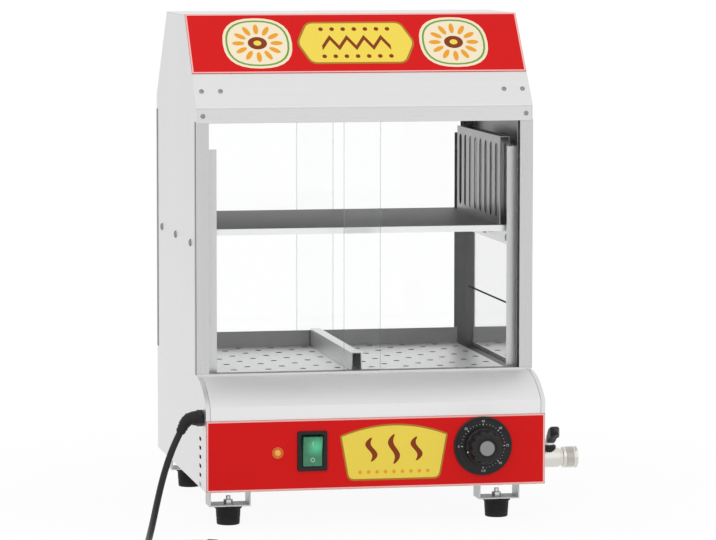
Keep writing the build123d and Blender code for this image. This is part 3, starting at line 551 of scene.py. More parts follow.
@dataclass(frozen=True)
class FlexJacket(Finish):
    """Black flexible lead: a satin jacket with faint extrusion marks."""

    def build(self) -> bpy.types.Material:
        """Small ripples and a dusty drift."""
        g = FinishGraph(self.name)
        ripple = g.noise((900.0, 900.0, 900.0), 2.0)
        drift = g.noise((30.0, 30.0, 30.0), 2.0)
        return g.finish(
            g.principled(
                {
                    "Base Color": g.blend(drift, (0.007, 0.007, 0.008), (0.018, 0.018, 0.019)),
                    "Specular IOR Level": 0.25,
                    "Roughness": ripple * 0.14 + 0.33,
                    "Normal": g.relief(ripple, 0.02 * MM),
                }
            )
        )


# ---------------------------------------------------------------------------------- shapes
@dataclass(frozen=True)
class Datum:
    """The steamer's own datum: its centre line, the control plate's face and the table."""

    across: float
    deep: float

    @classmethod
    def from_frame(cls) -> "Datum":
        """Find the datum from the side sheets and the control plate."""
        left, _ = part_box("cabinet_side_left")
        _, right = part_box("cabinet_side_right")
        plate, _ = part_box("control_panel")
        return cls((left[0] + right[0]) / 2, plate[1])

    def metres(self, points: Array) -> Array:
        """Carry points in millimetres from the datum to metres in the part's frame."""
        return np.asarray(points, dtype=float) * MM + np.array([self.across, self.deep, 0.0])

    def millimetres(self, points: Array) -> Array:
        """Carry points in metres in the part's frame back to millimetres from the datum."""
        return (np.asarray(points, dtype=float) - np.array([self.across, self.deep, 0.0])) / MM


@dataclass
class Solid:
    """Points in millimetres and the faces between them, each with the number of its finish."""

    points: Array
    faces: list[list[int]]
    coats: list[int]

    def __add__(self, other: "Solid") -> "Solid":
        """Put two solids in one mesh."""
        shift = len(self.points)
        moved = [[index + shift for index in face] for face in other.faces]
        points = np.concatenate([self.points, other.points])
        return Solid(points, self.faces + moved, self.coats + other.coats)

    def placed(self, frame: Array) -> "Solid":
        """Carry the solid from its own axes to those of a 4 by 4 frame."""
        return Solid(self.points @ frame[:3, :3].T + frame[:3, 3], self.faces, self.coats)

    def coated(self, coat: int) -> "Solid":
        """Give every face one finish."""
        return Solid(self.points, self.faces, [coat] * len(self.faces))


def axes_at(origin: Point, across: Point = (1, 0, 0), up: Point = (0, 0, 1)) -> Array:
    """A frame at a point: its X runs across, its Y runs up, and its Z is their cross product.

    Args:
        origin: The frame's place in millimetres.
        across: Direction of the local X.
        up: Direction of the local Y.

    Returns:
        A 4 by 4 matrix.
    """
    first = np.array(across, dtype=float) / np.linalg.norm(across)
    second = np.array(up, dtype=float) / np.linalg.norm(up)
    frame = np.eye(4)
    frame[:3, 0], frame[:3, 1], frame[:3, 2] = first, second, np.cross(first, second)
    frame[:3, 3] = origin
    return frame


def grid(points: Array, close_rows: bool = False, close_columns: bool = False) -> Solid:
    """A surface on a grid of points: each four neighbours along both parameters make a face.

    Args:
        points: Array of rows by columns by 3.
        close_rows: Whether the last row joins the first.
        close_columns: Whether the last column joins the first.

    Returns:
        The surface.
    """
    rows, columns = points.shape[:2]
    down, along = np.meshgrid(
        np.arange(rows if close_rows else rows - 1),
        np.arange(columns if close_columns else columns - 1),
        indexing="ij",
    )
    next_down, next_along = (down + 1) % rows, (along + 1) % columns
    corners = np.stack(
        [
            down * columns + along,
            next_down * columns + along,
            next_down * columns + next_along,
            down * columns + next_along,
        ],
        axis=-1,
    ).reshape(-1, 4)
    return Solid(points.reshape(-1, 3), corners.tolist(), [0] * len(corners))


def stacked(rings: Array) -> Solid:
    """Rings of points joined one above the other, with a flat face on the first and the last.

    Args:
        rings: Array of rings by points by 3.

    Returns:
        The closed solid.
    """
    body = grid(rings, close_columns=True)
    count, size = rings.shape[:2]
    body.faces += [list(range(size)), list(range((count - 1) * size, count * size))]
    body.coats += [0, 0]
    return body


def softened(corners: Sequence[Sequence[float]], cut: Any, steps: int = 5, closed: bool = True) -> Array:
    """Round each corner: it becomes the quadratic blend of the two points at the cut before and
    after it with the corner itself, (1-t)^2 start + 2t(1-t) corner + t^2 end.

    Args:
        corners: Points of 2 or 3 coordinates.
        cut: Distance from the corner to where its blend starts, one for all or one for each.
        steps: Points on each blend.
        closed: Whether the last corner joins the first; an open line keeps its two ends sharp.

    Returns:
        The rounded line.
    """
    points = np.asarray(corners, dtype=float)
    before, after = np.roll(points, 1, 0) - points, np.roll(points, -1, 0) - points
    long_before = np.linalg.norm(before, axis=1, keepdims=True)
    long_after = np.linalg.norm(after, axis=1, keepdims=True)
    cuts = np.broadcast_to(np.asarray(cut, dtype=float), (len(points),)).reshape(-1, 1)
    start = points + before / long_before * np.minimum(cuts, 0.48 * long_before)
    end = points + after / long_after * np.minimum(cuts, 0.48 * long_after)
    share = np.linspace(0, 1, steps).reshape(1, -1, 1)
    line = (
        (1 - share) ** 2 * start[:, None]
        + 2 * share * (1 - share) * points[:, None]
        + share**2 * end[:, None]
    )
    if closed:
        return line.reshape(-1, points.shape[1])
    middle = line[1:-1].reshape(-1, points.shape[1])
    return np.concatenate([points[:1], middle, points[-1:]])


def inset(outline: Array, distance: float) -> Array:
    """Move a closed outline inwards, each point along the mitre of its two neighbouring edges.

    Args:
        outline: Points of 2 coordinates in counterclockwise order.
        distance: How far inwards, or outwards below zero.

    Returns:
        The moved outline.
    """
    ahead = np.roll(outline, -1, 0) - outline
    ahead /= np.linalg.norm(ahead, axis=1, keepdims=True)
    behind = np.roll(ahead, 1, 0)
    inward = np.stack([-ahead[:, 1] - behind[:, 1], ahead[:, 0] + behind[:, 0]], axis=1)
    scale = 1 + (ahead * behind).sum(axis=1, keepdims=True)
    return outline + inward / np.maximum(scale, 0.2) * distance


def tile(outline: Array, low: float, high: float, edge: float = 0.0, steps: int = 3) -> Solid:
    """A flat plate of any outline, standing from low to high, whose upper rim is a quarter round.

    Args:
        outline: Points of 2 coordinates in counterclockwise order.
        low: Height of the underside.
        high: Height of the face.
        edge: Radius of the rim.
        steps: Rings on the rim.

    Returns:
        The closed plate.
    """
    turns = np.linspace(0, math.pi / 2, steps) if edge else np.zeros(1)
    heights = [low] + [high - edge + edge * math.sin(turn) for turn in turns]
    insets = [0.0] + [edge - edge * math.cos(turn) for turn in turns]
    rings = [
        np.column_stack([inset(outline, move), np.full(len(outline), height)])
        for move, height in zip(insets, heights)
    ]
    return stacked(np.array(rings))


def ring_tile(outer: Array, inner: Array, low: float, high: float) -> Solid:
    """A flat frame between two outlines of the same number of points."""
    heights = [(outer, low), (outer, high), (inner, high), (inner, low)]
    rings = [np.column_stack([line, np.full(len(line), height)]) for line, height in heights]
    return grid(np.array(rings), close_rows=True, close_columns=True)


def revolved(profile: Array, turns: int = 64, closed: bool = False) -> Solid:
    """A profile of radius and height turned about the local Z: x = r cos a, y = r sin a, z = h.

    Args:
        profile: Points of radius and height.
        turns: Number of steps round the axis.
        closed: Whether the profile's last point joins its first, as in a ring.

    Returns:
        The turned surface; points on the axis are merged when the piece is made.
    """
    angle = np.linspace(0, 2 * math.pi, turns, endpoint=False)
    radius, height = profile[:, :1], profile[:, 1:]
    points = np.stack(
        [radius * np.cos(angle), radius * np.sin(angle), height + 0 * angle], axis=-1
    )
    return grid(points, close_rows=closed, close_columns=True)


def swept(section: Array, path: Array, scale: Any = 1.0, up: Point = (0.0, 0.0, 1.0)) -> Solid:
    """A closed section carried along a path, square to it.

    At each station the section's X lies along up crossed with the path's direction, and its Y is
    square to both.

    Args:
        section: Points of 2 coordinates.
        path: Points of 3 coordinates.
        scale: Size of the section, one for all or one for each station.
        up: A direction that the path never takes.

    Returns:
        The closed solid.
    """
    along = np.gradient(path, axis=0)
    along /= np.linalg.norm(along, axis=1, keepdims=True)
    side = np.cross(np.array(up), along)
    side /= np.linalg.norm(side, axis=1, keepdims=True)
    lift = np.cross(along, side)
    size = np.broadcast_to(np.asarray(scale, dtype=float), (len(path),)).reshape(-1, 1, 1)
    rings = path[:, None] + size * (
        section[None, :, :1] * side[:, None] + section[None, :, 1:] * lift[:, None]
    )
    return stacked(rings)


def circle(radius: float, count: int = 48, turn: float = 0.0) -> Array:
    """Points evenly round a circle, or a polygon's corners when there are few."""
    angle = np.linspace(0, 2 * math.pi, count, endpoint=False) + turn
    return radius * np.column_stack([np.cos(angle), np.sin(angle)])


def rounded_box(width: float, height: float, radius: float, steps: int = 8) -> Array:
    """Outline of a rectangle with rounded corners, counterclockwise about the origin."""
    x, y = width / 2, height / 2
    return softened([(-x, -y), (x, -y), (x, y), (-x, y)], 1.25 * radius, steps)


def wavy_line(length: float, swing: float, waves: float, thickness: float, count: int = 49) -> Array:
    """Outline of a ribbon along local Y whose middle line is swing times the sine of its length.

    Args:
        length: Height of the ribbon.
        swing: Greatest distance of the middle line from the axis.
        waves: Number of waves.
        thickness: Width at the middle; it narrows to a fifth at the two ends.
        count: Points along each side.

    Returns:
        The closed outline, counterclockwise.
    """
    share = np.linspace(0, 1, count)
    middle = swing * np.sin(2 * math.pi * waves * share)
    half = thickness / 2 * (0.2 + 0.8 * np.sin(math.pi * share) ** 0.6)
    upright = (share - 0.5) * length
    right = np.column_stack([middle + half, upright])
    left = np.column_stack([middle - half, upright])[::-1]
    return np.concatenate([right, left])


def shifted(outline: Array, x: float, y: float, turn: float = 0.0) -> Array:
    """Turn an outline by an angle in degrees and move it."""
    cosine, sine = math.cos(math.radians(turn)), math.sin(math.radians(turn))
    return outline @ np.array([[cosine, sine], [-sine, cosine]]) + np.array([x, y])


def lettered(text: str, height: float, low: float, high: float) -> Solid:
    """A number as a thin raised print, centred on the origin.

    Args:
        text: The figures.
        height: Size of the type in millimetres.
        low: Height of the underside.
        high: Height of the face.

    Returns:
        The solid.
    """
    curve = bpy.data.curves.new("figures", "FONT")
    curve.body = text
    curve.align_x = "CENTER"
    curve.align_y = "CENTER"
    curve.size = height
    curve.extrude = (high - low) / 2
    holder = bpy.data.objects.new("figures", curve)
    mesh = bpy.data.meshes.new_from_object(holder)
    points = np.empty(3 * len(mesh.vertices))
    mesh.vertices.foreach_get("co", points)
    faces = [list(face.vertices) for face in mesh.polygons]
    bpy.data.objects.remove(holder)
    bpy.data.curves.remove(curve)
    bpy.data.meshes.remove(mesh)
    points = points.reshape(-1, 3) + np.array([0, 0, (high + low) / 2])
    return Solid(points, faces, [0] * len(faces))


# ---------------------------------------------------------------------------------- workshop
@dataclass
class Workshop:
    """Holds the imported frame, keeps one material for each finish, and turns solids into pieces."""

    frame: Mapping[str, Any]
    datum: Datum
    materials: dict[Finish, bpy.types.Material] = field(default_factory=dict)

    def material(self, finish: Finish) -> bpy.types.Material:
        """The material of a finish, made on its first use."""
        if finish not in self.materials:
            self.materials[finish] = finish.build()
        return self.materials[finish]

    def body_of(self, node: str) -> str:
        """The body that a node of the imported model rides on."""
        bodies = self.frame["record"]["behaviour"]["bodies"]
        return next(body for body, nodes in bodies.items() if node in nodes)

    def slot_of(self, node: str) -> str:
        """The record's material slot of a node."""
        rows = self.frame["record"]["subparts"]
        return next(row["material_slot"] for row in rows if row["node"] == node)

    def declare(self, piece: bpy.types.Object, stands_for: Sequence[str], like: str) -> None:
        """Tie a piece to its body, look up the slot of the node it is like, and hide the nodes that it
        stands for.

        Args:
            piece: The piece.
            stands_for: Nodes that are hidden.
            like: The node whose body the piece takes; its slot is looked up but not given to the piece.
        """
        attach(piece, self.body_of(like))
        self.slot_of(like)
        if stands_for:
            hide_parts(*stands_for)
        LOG.info("%s: %d faces", piece.name, len(piece.data.polygons))

    def piece(
        self,
        name: str,
        solid: Solid,
        finishes: Sequence[Finish],
        like: str,
        stands_for: Sequence[str] = (),
        sharp: float = 32.0,
    ) -> bpy.types.Object:
        """Make a finished piece from a solid.

        Args:
            name: The piece's name.
            solid: Its shape in millimetres about the datum.
            finishes: Finishes by the numbers in the solid.
            like: The node whose body it takes.
            stands_for: Nodes that it replaces.
            sharp: Edges that turn by more than this many degrees stay sharp.

        Returns:
            The new object.
        """
        mesh = bpy.data.meshes.new(name)
        mesh.from_pydata(self.datum.metres(solid.points).tolist(), [], solid.faces)
        mesh.polygons.foreach_set("material_index", np.array(solid.coats, dtype=np.int32))
        for finish in finishes:
            mesh.materials.append(self.material(finish))
        self._close(mesh)
        self._shade(mesh, sharp)
        piece = bpy.data.objects.new(name, mesh)
        bpy.context.scene.collection.objects.link(piece)
        self.declare(piece, stands_for, like)
        return piece

    @staticmethod
    def _close(mesh: bpy.types.Mesh) -> None:
        """Merge doubled points, drop faces without area and turn every face outwards."""
        work = bmesh.new()
        work.from_mesh(mesh)
        bmesh.ops.remove_doubles(work, verts=work.verts, dist=2e-6)
        bmesh.ops.dissolve_degenerate(work, edges=work.edges, dist=1e-7)
        bmesh.ops.recalc_face_normals(work, faces=work.faces)
        work.to_mesh(mesh)
        work.free()

    @staticmethod
    def _shade(mesh: bpy.types.Mesh, sharp: float) -> None:
        """Shade smoothly except over edges that turn by more than an angle in degrees."""
        mesh.shade_smooth()
        mesh.set_sharp_from_angle(angle=math.radians(sharp))
        mesh.update()

    def _looking(self, mesh: bpy.types.Mesh, looking: "Looking") -> Array:
        """Which faces of a mesh look the asked way: inward is towards the chamber's middle, and
        level is any way along the table, as the walls of upright holes do."""
        places = np.empty(3 * len(mesh.polygons))
        normals = np.empty(3 * len(mesh.polygons))
        mesh.polygons.foreach_get("center", places)
        mesh.polygons.foreach_get("normal", normals)
        places, normals = places.reshape(-1, 3), normals.reshape(-1, 3)
        if looking is Looking.INWARD:
            toward = self.datum.metres([looking.value])[0] - places
            toward /= np.linalg.norm(toward, axis=1, keepdims=True)
            return (normals * toward).sum(axis=1) > 0.05
        if looking is Looking.LEVEL:
            return np.abs(normals[:, 2]) < 0.3
        return normals @ np.array(looking.value) > 0.7

    def edged(
        self,
        node: str,
        finish: Finish,
        edge: float = 0.22,
        segments: int = 2,
        aside: Optional[Finish] = None,
        looking: Optional["Looking"] = None,
    ) -> bpy.types.Object:
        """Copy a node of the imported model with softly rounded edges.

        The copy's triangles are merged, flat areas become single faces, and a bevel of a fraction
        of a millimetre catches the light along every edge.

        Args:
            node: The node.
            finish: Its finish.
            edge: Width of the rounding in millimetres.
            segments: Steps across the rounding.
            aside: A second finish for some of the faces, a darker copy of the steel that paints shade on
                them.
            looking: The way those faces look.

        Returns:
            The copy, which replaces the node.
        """
        name = f"{node}_finished"
        mesh = self.frame["nodes"][node].data.copy()
        mesh.name = name
        mesh.materials.clear()
        mesh.materials.append(self.material(finish))
        work = bmesh.new()
        work.from_mesh(mesh)
        bmesh.ops.remove_doubles(work, verts=work.verts, dist=2e-6)
        bmesh.ops.dissolve_limit(
            work, angle_limit=math.radians(0.2), verts=work.verts, edges=work.edges
        )
        for crease in work.edges:
            turn = crease.calc_face_angle(0.0)
            crease.smooth = not math.radians(13) < turn <= math.radians(30)
        for face in work.faces:
            face.smooth = True
        work.to_mesh(mesh)
        work.free()
        coats = np.zeros(len(mesh.polygons), dtype=np.int32)
        # painted shade: the picked faces take the darker second finish
        if aside is not None:
            mesh.materials.append(self.material(aside))
            coats[self._looking(mesh, looking)] = 1
        mesh.polygons.foreach_set("material_index", coats)
        piece = bpy.data.objects.new(name, mesh)
        bpy.context.scene.collection.objects.link(piece)
        bevel = piece.modifiers.new("rounded edges", "BEVEL")
        bevel.width = edge * MM
        bevel.segments = segments
        bevel.limit_method = "ANGLE"
        bevel.angle_limit = math.radians(30)
        weighted = piece.modifiers.new("flat faces stay flat", "WEIGHTED_NORMAL")
        weighted.keep_sharp = True
        weighted.weight = 80
        self.declare(piece, [node], node)
        return piece

    def dress(self, node: str, finish: Finish) -> None:
        """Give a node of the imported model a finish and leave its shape."""
        holder = self.frame["nodes"][node]
        for slot in holder.material_slots:
            slot.link = "OBJECT"
            slot.material = self.material(finish)
        LOG.info("%s: dressed", node)


# ---------------------------------------------------------------------------------- the steamer
@dataclass
class CabinetSheets:
    """The folded steel and zinc sheets, the tray and the parts inside the steam chamber."""

    outer: BrushedSteel = BrushedSteel("satin_steel_upright", 0.72, 0.36, Grain.UPRIGHT)
    across: BrushedSteel = BrushedSteel("satin_steel_across", 0.74, 0.4, Grain.ACROSS)
    ledge: BrushedSteel = BrushedSteel("ledge_steel", 0.78, 0.62, Grain.ACROSS, spread=0.03)
    rails: BrushedSteel = BrushedSteel("bright_rail_steel", 0.68, 0.28, Grain.ACROSS, spread=0.03)
    posts: BrushedSteel = BrushedSteel("bright_post_steel", 0.58, 0.28, Grain.UPRIGHT, spread=0.05)
    # painted shade: faces of the sides, roof and tracks that look into the chamber take this darker copy of
    # the steel
    inside: BrushedSteel = BrushedSteel("inner_shade_steel", 0.16, 0.34, Grain.UPRIGHT, smear=0.12)
    # painted shade on the rear stiles' faces that look into the chamber
    stile_back: BrushedSteel = BrushedSteel("rear_stile_shade_steel", 0.06, 0.34, Grain.UPRIGHT)
    # painted shade on the front stiles' faces that look into the chamber
    stile_leg: BrushedSteel = BrushedSteel("front_stile_shade_steel", 0.36, 0.34, Grain.UPRIGHT)
    # painted shade on the forward faces of the tray's upstands
    upstand: BrushedSteel = BrushedSteel("upstand_shade_steel", 0.22, 0.3, Grain.ACROSS)
    mirror: BrushedSteel = BrushedSteel(
        "mirror_liner_steel", 0.84, 0.07, Grain.UPRIGHT, 0.001 * MM, spread=0.02, smear=0.03
    )
    # painted shade: the liners' forward faces are darker than their mirror steel, and near black behind 30
    # mm
    liner_edge: BrushedSteel = BrushedSteel(
        "duct_edge_shade_steel", 0.6, 0.32, Grain.UPRIGHT, shaded_behind=30 * MM
    )
    # painted shade on the shelf's upward faces
    shelf_top: BrushedSteel = BrushedSteel("shelf_top_shade_steel", 0.25, 0.5, Grain.ACROSS, slant=0.6)
    shelf: BrushedSteel = BrushedSteel("shelf_lip_steel", 0.85, 0.42, Grain.ACROSS)
    # painted shade: the fence inside the chamber is much darker than the same steel outside
    fence: BrushedSteel = BrushedSteel("fence_shade_steel", 0.26, 0.3, Grain.UPRIGHT)
    tray: BrushedSteel = BrushedSteel(
        "tray_steel", 0.95, 0.42, Grain.ACROSS, 0.001 * MM, spread=0.02, smear=0.03, metal=0.8
    )
    divider: BrushedSteel = BrushedSteel("divider_steel", 0.85, 0.4, Grain.DEEP, spread=0.03)
    # painted shade: the tray's level faces, chiefly its hole walls, are near black
    hole_wall: BrushedSteel = BrushedSteel("hole_wall_shade_steel", 0.03, 0.5, Grain.NONE, slant=0.2)
    # painted shade: the water pan under the tray is dark as the shade there
    pan: BrushedSteel = BrushedSteel("pan_shade_steel", 0.14, 0.4, Grain.ACROSS, smear=0.14)
    # painted shade: the stile legs are dark as a shadowed groove beside the side sheets
    flange: BrushedSteel = BrushedSteel("stile_groove_shade_steel", 0.15, 0.34, Grain.UPRIGHT)
    zinc: ZincSheet = ZincSheet("spangled_zinc")
    half_width: float = 180.0
    faces: tuple[float, float] = (61.5, 345.7)
    flange_width: float = 9.5
    flange_span: tuple[float, float] = (152.5, 417.6)
    liner_leg: float = 18.0
    splash_top: float = 215.0

    def make(self, shop: Workshop) -> None:
        """Round the edges of every sheet and give each its grain; the faces picked by a way of looking take
        a darker copy of the steel as painted shade.
        """
        inward, forward, up = Looking.INWARD, Looking.FORWARD, Looking.UP
        ends, sides = ("front", "rear"), ("left", "right")
        stiles = [f"{end}_stile_{side}" for end in ends for side in sides]
        tracks = [f"{end}_{level}_track" for end in ends for level in ("top", "bottom")]
        plain = [f"{piece}_{side}" for piece in ("base_side", "front_cheek") for side in sides]
        for nodes, finish, aside, looking in (
            (("cabinet_side_left", "cabinet_side_right"), self.outer, self.inside, inward),
            (plain, self.outer, None, None),
            (("front_apron",), self.ledge, None, None),
            (("base_rear_panel",), self.across, None, None),
            (("roof_shell",), self.across, self.inside, inward),
            (tracks, self.rails, self.inside, inward),
            (stiles[:2], self.posts, self.stile_leg, inward),
            (stiles[2:], self.posts, self.stile_back, inward),
            (("duct_liner_left", "duct_liner_right"), self.mirror, self.liner_edge, forward),
            (("bun_shelf",), self.shelf, self.shelf_top, up),
            (("bun_fence",), self.fence, None, None),
            (("steam_tray",), self.tray, self.hole_wall, Looking.LEVEL),
            (("tray_divider",), self.divider, None, None),
            (("tray_flanges",), self.tray, self.upstand, forward),
            (("water_pan",), self.pan, None, None),
            (("base_floor", "foot_brackets"), self.zinc, None, None),
        ):
            for node in nodes:
                shop.edged(node, finish, aside=aside, looking=looking)
        self._flanges(shop)
        self._splash_plates(shop)

    def _flanges(self, shop: Workshop) -> None:
        """The folded leg of each stile, which laps the side sheet beside the door frames; it is dark as
        painted shade in the groove there.
        """
        low, high = self.flange_span
        outline = rounded_box(self.flange_width, high - low, 0.4, 3)
        for end, face, step in (("front", self.faces[0], 1.0), ("rear", self.faces[1], -1.0)):
            for side, sign in (("left", -1.0), ("right", 1.0)):
                middle = (sign * self.half_width, face + step * self.flange_width / 2, (low + high) / 2)
                leg = tile(outline, -0.05, 0.35, 0.15)
                placed = leg.placed(axes_at(middle, (0.0, sign, 0.0)))
                # the legs take the dark steel as painted shade
                shop.piece(f"{end}_stile_leg_{side}", placed, [self.flange], f"{end}_stile_{side}")

    def _splash_plates(self, shop: Workshop) -> None:
        """A mirror plate stands between the legs of each liner, with a dark gap above it."""
        for side, sign in (("left", -1.0), ("right", 1.0)):
            low, high = (shop.datum.millimetres(corner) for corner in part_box(f"duct_liner_{side}"))
            top = self.splash_top
            outline = rounded_box(high[1] - low[1] - 2 * self.liner_leg, top - low[2], 0.3, 3)
            outer = high[0] if sign > 0 else low[0]
            middle = (outer, (low[1] + high[1]) / 2, (low[2] + top) / 2)
            plate = tile(outline, -0.95, -0.05).placed(axes_at(middle, (0.0, sign, 0.0)))
            shop.piece(f"splash_plate_{side}", plate, [self.mirror], f"duct_liner_{side}")


@dataclass
class Fasteners:
    """Domed rivets, pan-head screws with a cross recess, and the nuts, spacers and foot bolts."""

    zinc: BrightMetal = BrightMetal("bright_zinc", (0.7, 0.7, 0.69), 0.24)
    dark: BrightMetal = BrightMetal("dull_zinc", (0.3, 0.3, 0.3), 0.4)
    half_width: float = 180.0
    front: float = 61.5
    back: float = 345.7
    eave: float = 433.0
    ridge: float = 527.5
    roof_run: float = 79.5
    rivet_insets: tuple[float, float] = (28.0, 8.0)
    rivet_row: float = 21.0
    rail_rivet: tuple[float, float] = (172.8, 423.8)
    rivet_radius: float = 2.6
    screw_places: tuple[float, float, float] = (101.1, 206.0, 306.1)
    screw_height: float = 288.7
    head_radius: float = 4.0
    head_height: float = 2.0
    screw_inner: float = 163.5

    def _rivet(self) -> Solid:
        """A low dome: h = H sqrt(1 - (r/R)^2) over a short straight rim, with a small flat pip."""
        turn = np.linspace(0, math.pi / 2, 9)
        dome = np.column_stack([self.rivet_radius * np.cos(turn), 0.3 + 0.9 * np.sin(turn)])
        rim = np.array([[0.0, 0.0], [self.rivet_radius - 0.1, 0.0], [self.rivet_radius, 0.1]])
        pip = np.array([[0.55, 1.16], [0.45, 0.98], [0.0, 0.98]])
        return revolved(np.concatenate([rim, dome[:-2], pip]), 28)

    def _pan_head(self) -> Solid:
        """Pan head with a cross recess: the height falls with the fourth power of the radius, and
        two crossed grooves of half width 0.55 sink 1.1 deep where they are within 2.3 of the axis.
        """
        radius = np.linspace(0.0, 1.0, 25)[:, None] * self.head_radius
        angle = np.linspace(0, 2 * math.pi, 96, endpoint=False)[None, :]
        x, y = radius * np.cos(angle), radius * np.sin(angle)
        height = self.head_height * (1 - 0.62 * (radius / self.head_radius) ** 4) + 0 * angle
        across = np.minimum(np.abs(x), np.abs(y))
        groove = np.clip((0.62 - across) / 0.16, 0, 1) * np.clip((2.35 - radius) / 0.3, 0, 1)
        top = np.stack([x, y, height - 1.1 * groove], axis=-1)
        rim = np.stack([x[-1], y[-1], 0 * x[-1]], axis=-1)
        centre = np.zeros_like(rim)
        return grid(np.concatenate([top, rim[None], centre[None]]), close_columns=True)

    def make(self, shop: Workshop) -> None:
        """Place the rivets on both slopes and rails, and the screws along both sides."""
        rise = self.ridge - self.eave
        length = math.hypot(rise, self.roof_run)
        up_y, up_z = self.roof_run / length, rise / length
        rivet, head = self._rivet(), self._pan_head()
        rivets: Optional[Solid] = None
        frames = []
        for side in (-1.0, 1.0):
            for gap in self.rivet_insets:
                x = side * (self.half_width - gap)
                y = self.rivet_row * up_y
                z = self.eave + self.rivet_row * up_z
                frames.append(axes_at((x, self.front + y, z), (1, 0, 0), (0, up_y, up_z)))
                frames.append(axes_at((x, self.back - y, z), (-1, 0, 0), (0, -up_y, up_z)))
            x, z = side * self.rail_rivet[0], self.rail_rivet[1]
            frames.append(axes_at((x, self.front, z)))
            frames.append(axes_at((x, self.back, z), (-1, 0, 0)))
        for place in frames:
            rivets = rivet.placed(place) if rivets is None else rivets + rivet.placed(place)
        shop.piece("roof_rivets", rivets, [self.dark], "cabinet_rivets", ["cabinet_rivets"])
        nut = tile(circle(self.head_radius, 6), -3.0, 0.0, 0.4)
        shank = revolved(np.array([[0.0, -3.4], [1.6, -3.4], [2.0, -3.0], [2.0, 18.0], [0.0, 18.0]]), 20)
        screws: Optional[Solid] = None
        for side in (-1.0, 1.0):
            for y in self.screw_places:
                outer = axes_at((side * self.half_width, y, self.screw_height), (0, side, 0))
                inner = axes_at((side * self.screw_inner, y, self.screw_height), (0, side, 0))
                set_of_three = head.placed(outer) + nut.placed(inner) + shank.placed(inner)
                screws = set_of_three if screws is None else screws + set_of_three
        shop.piece("side_screws", screws, [self.dark], "shelf_screws", ["shelf_screws"])
        shop.edged("shelf_spacers", self.zinc, 0.3)
        shop.edged("foot_bolts", self.zinc, 0.4)


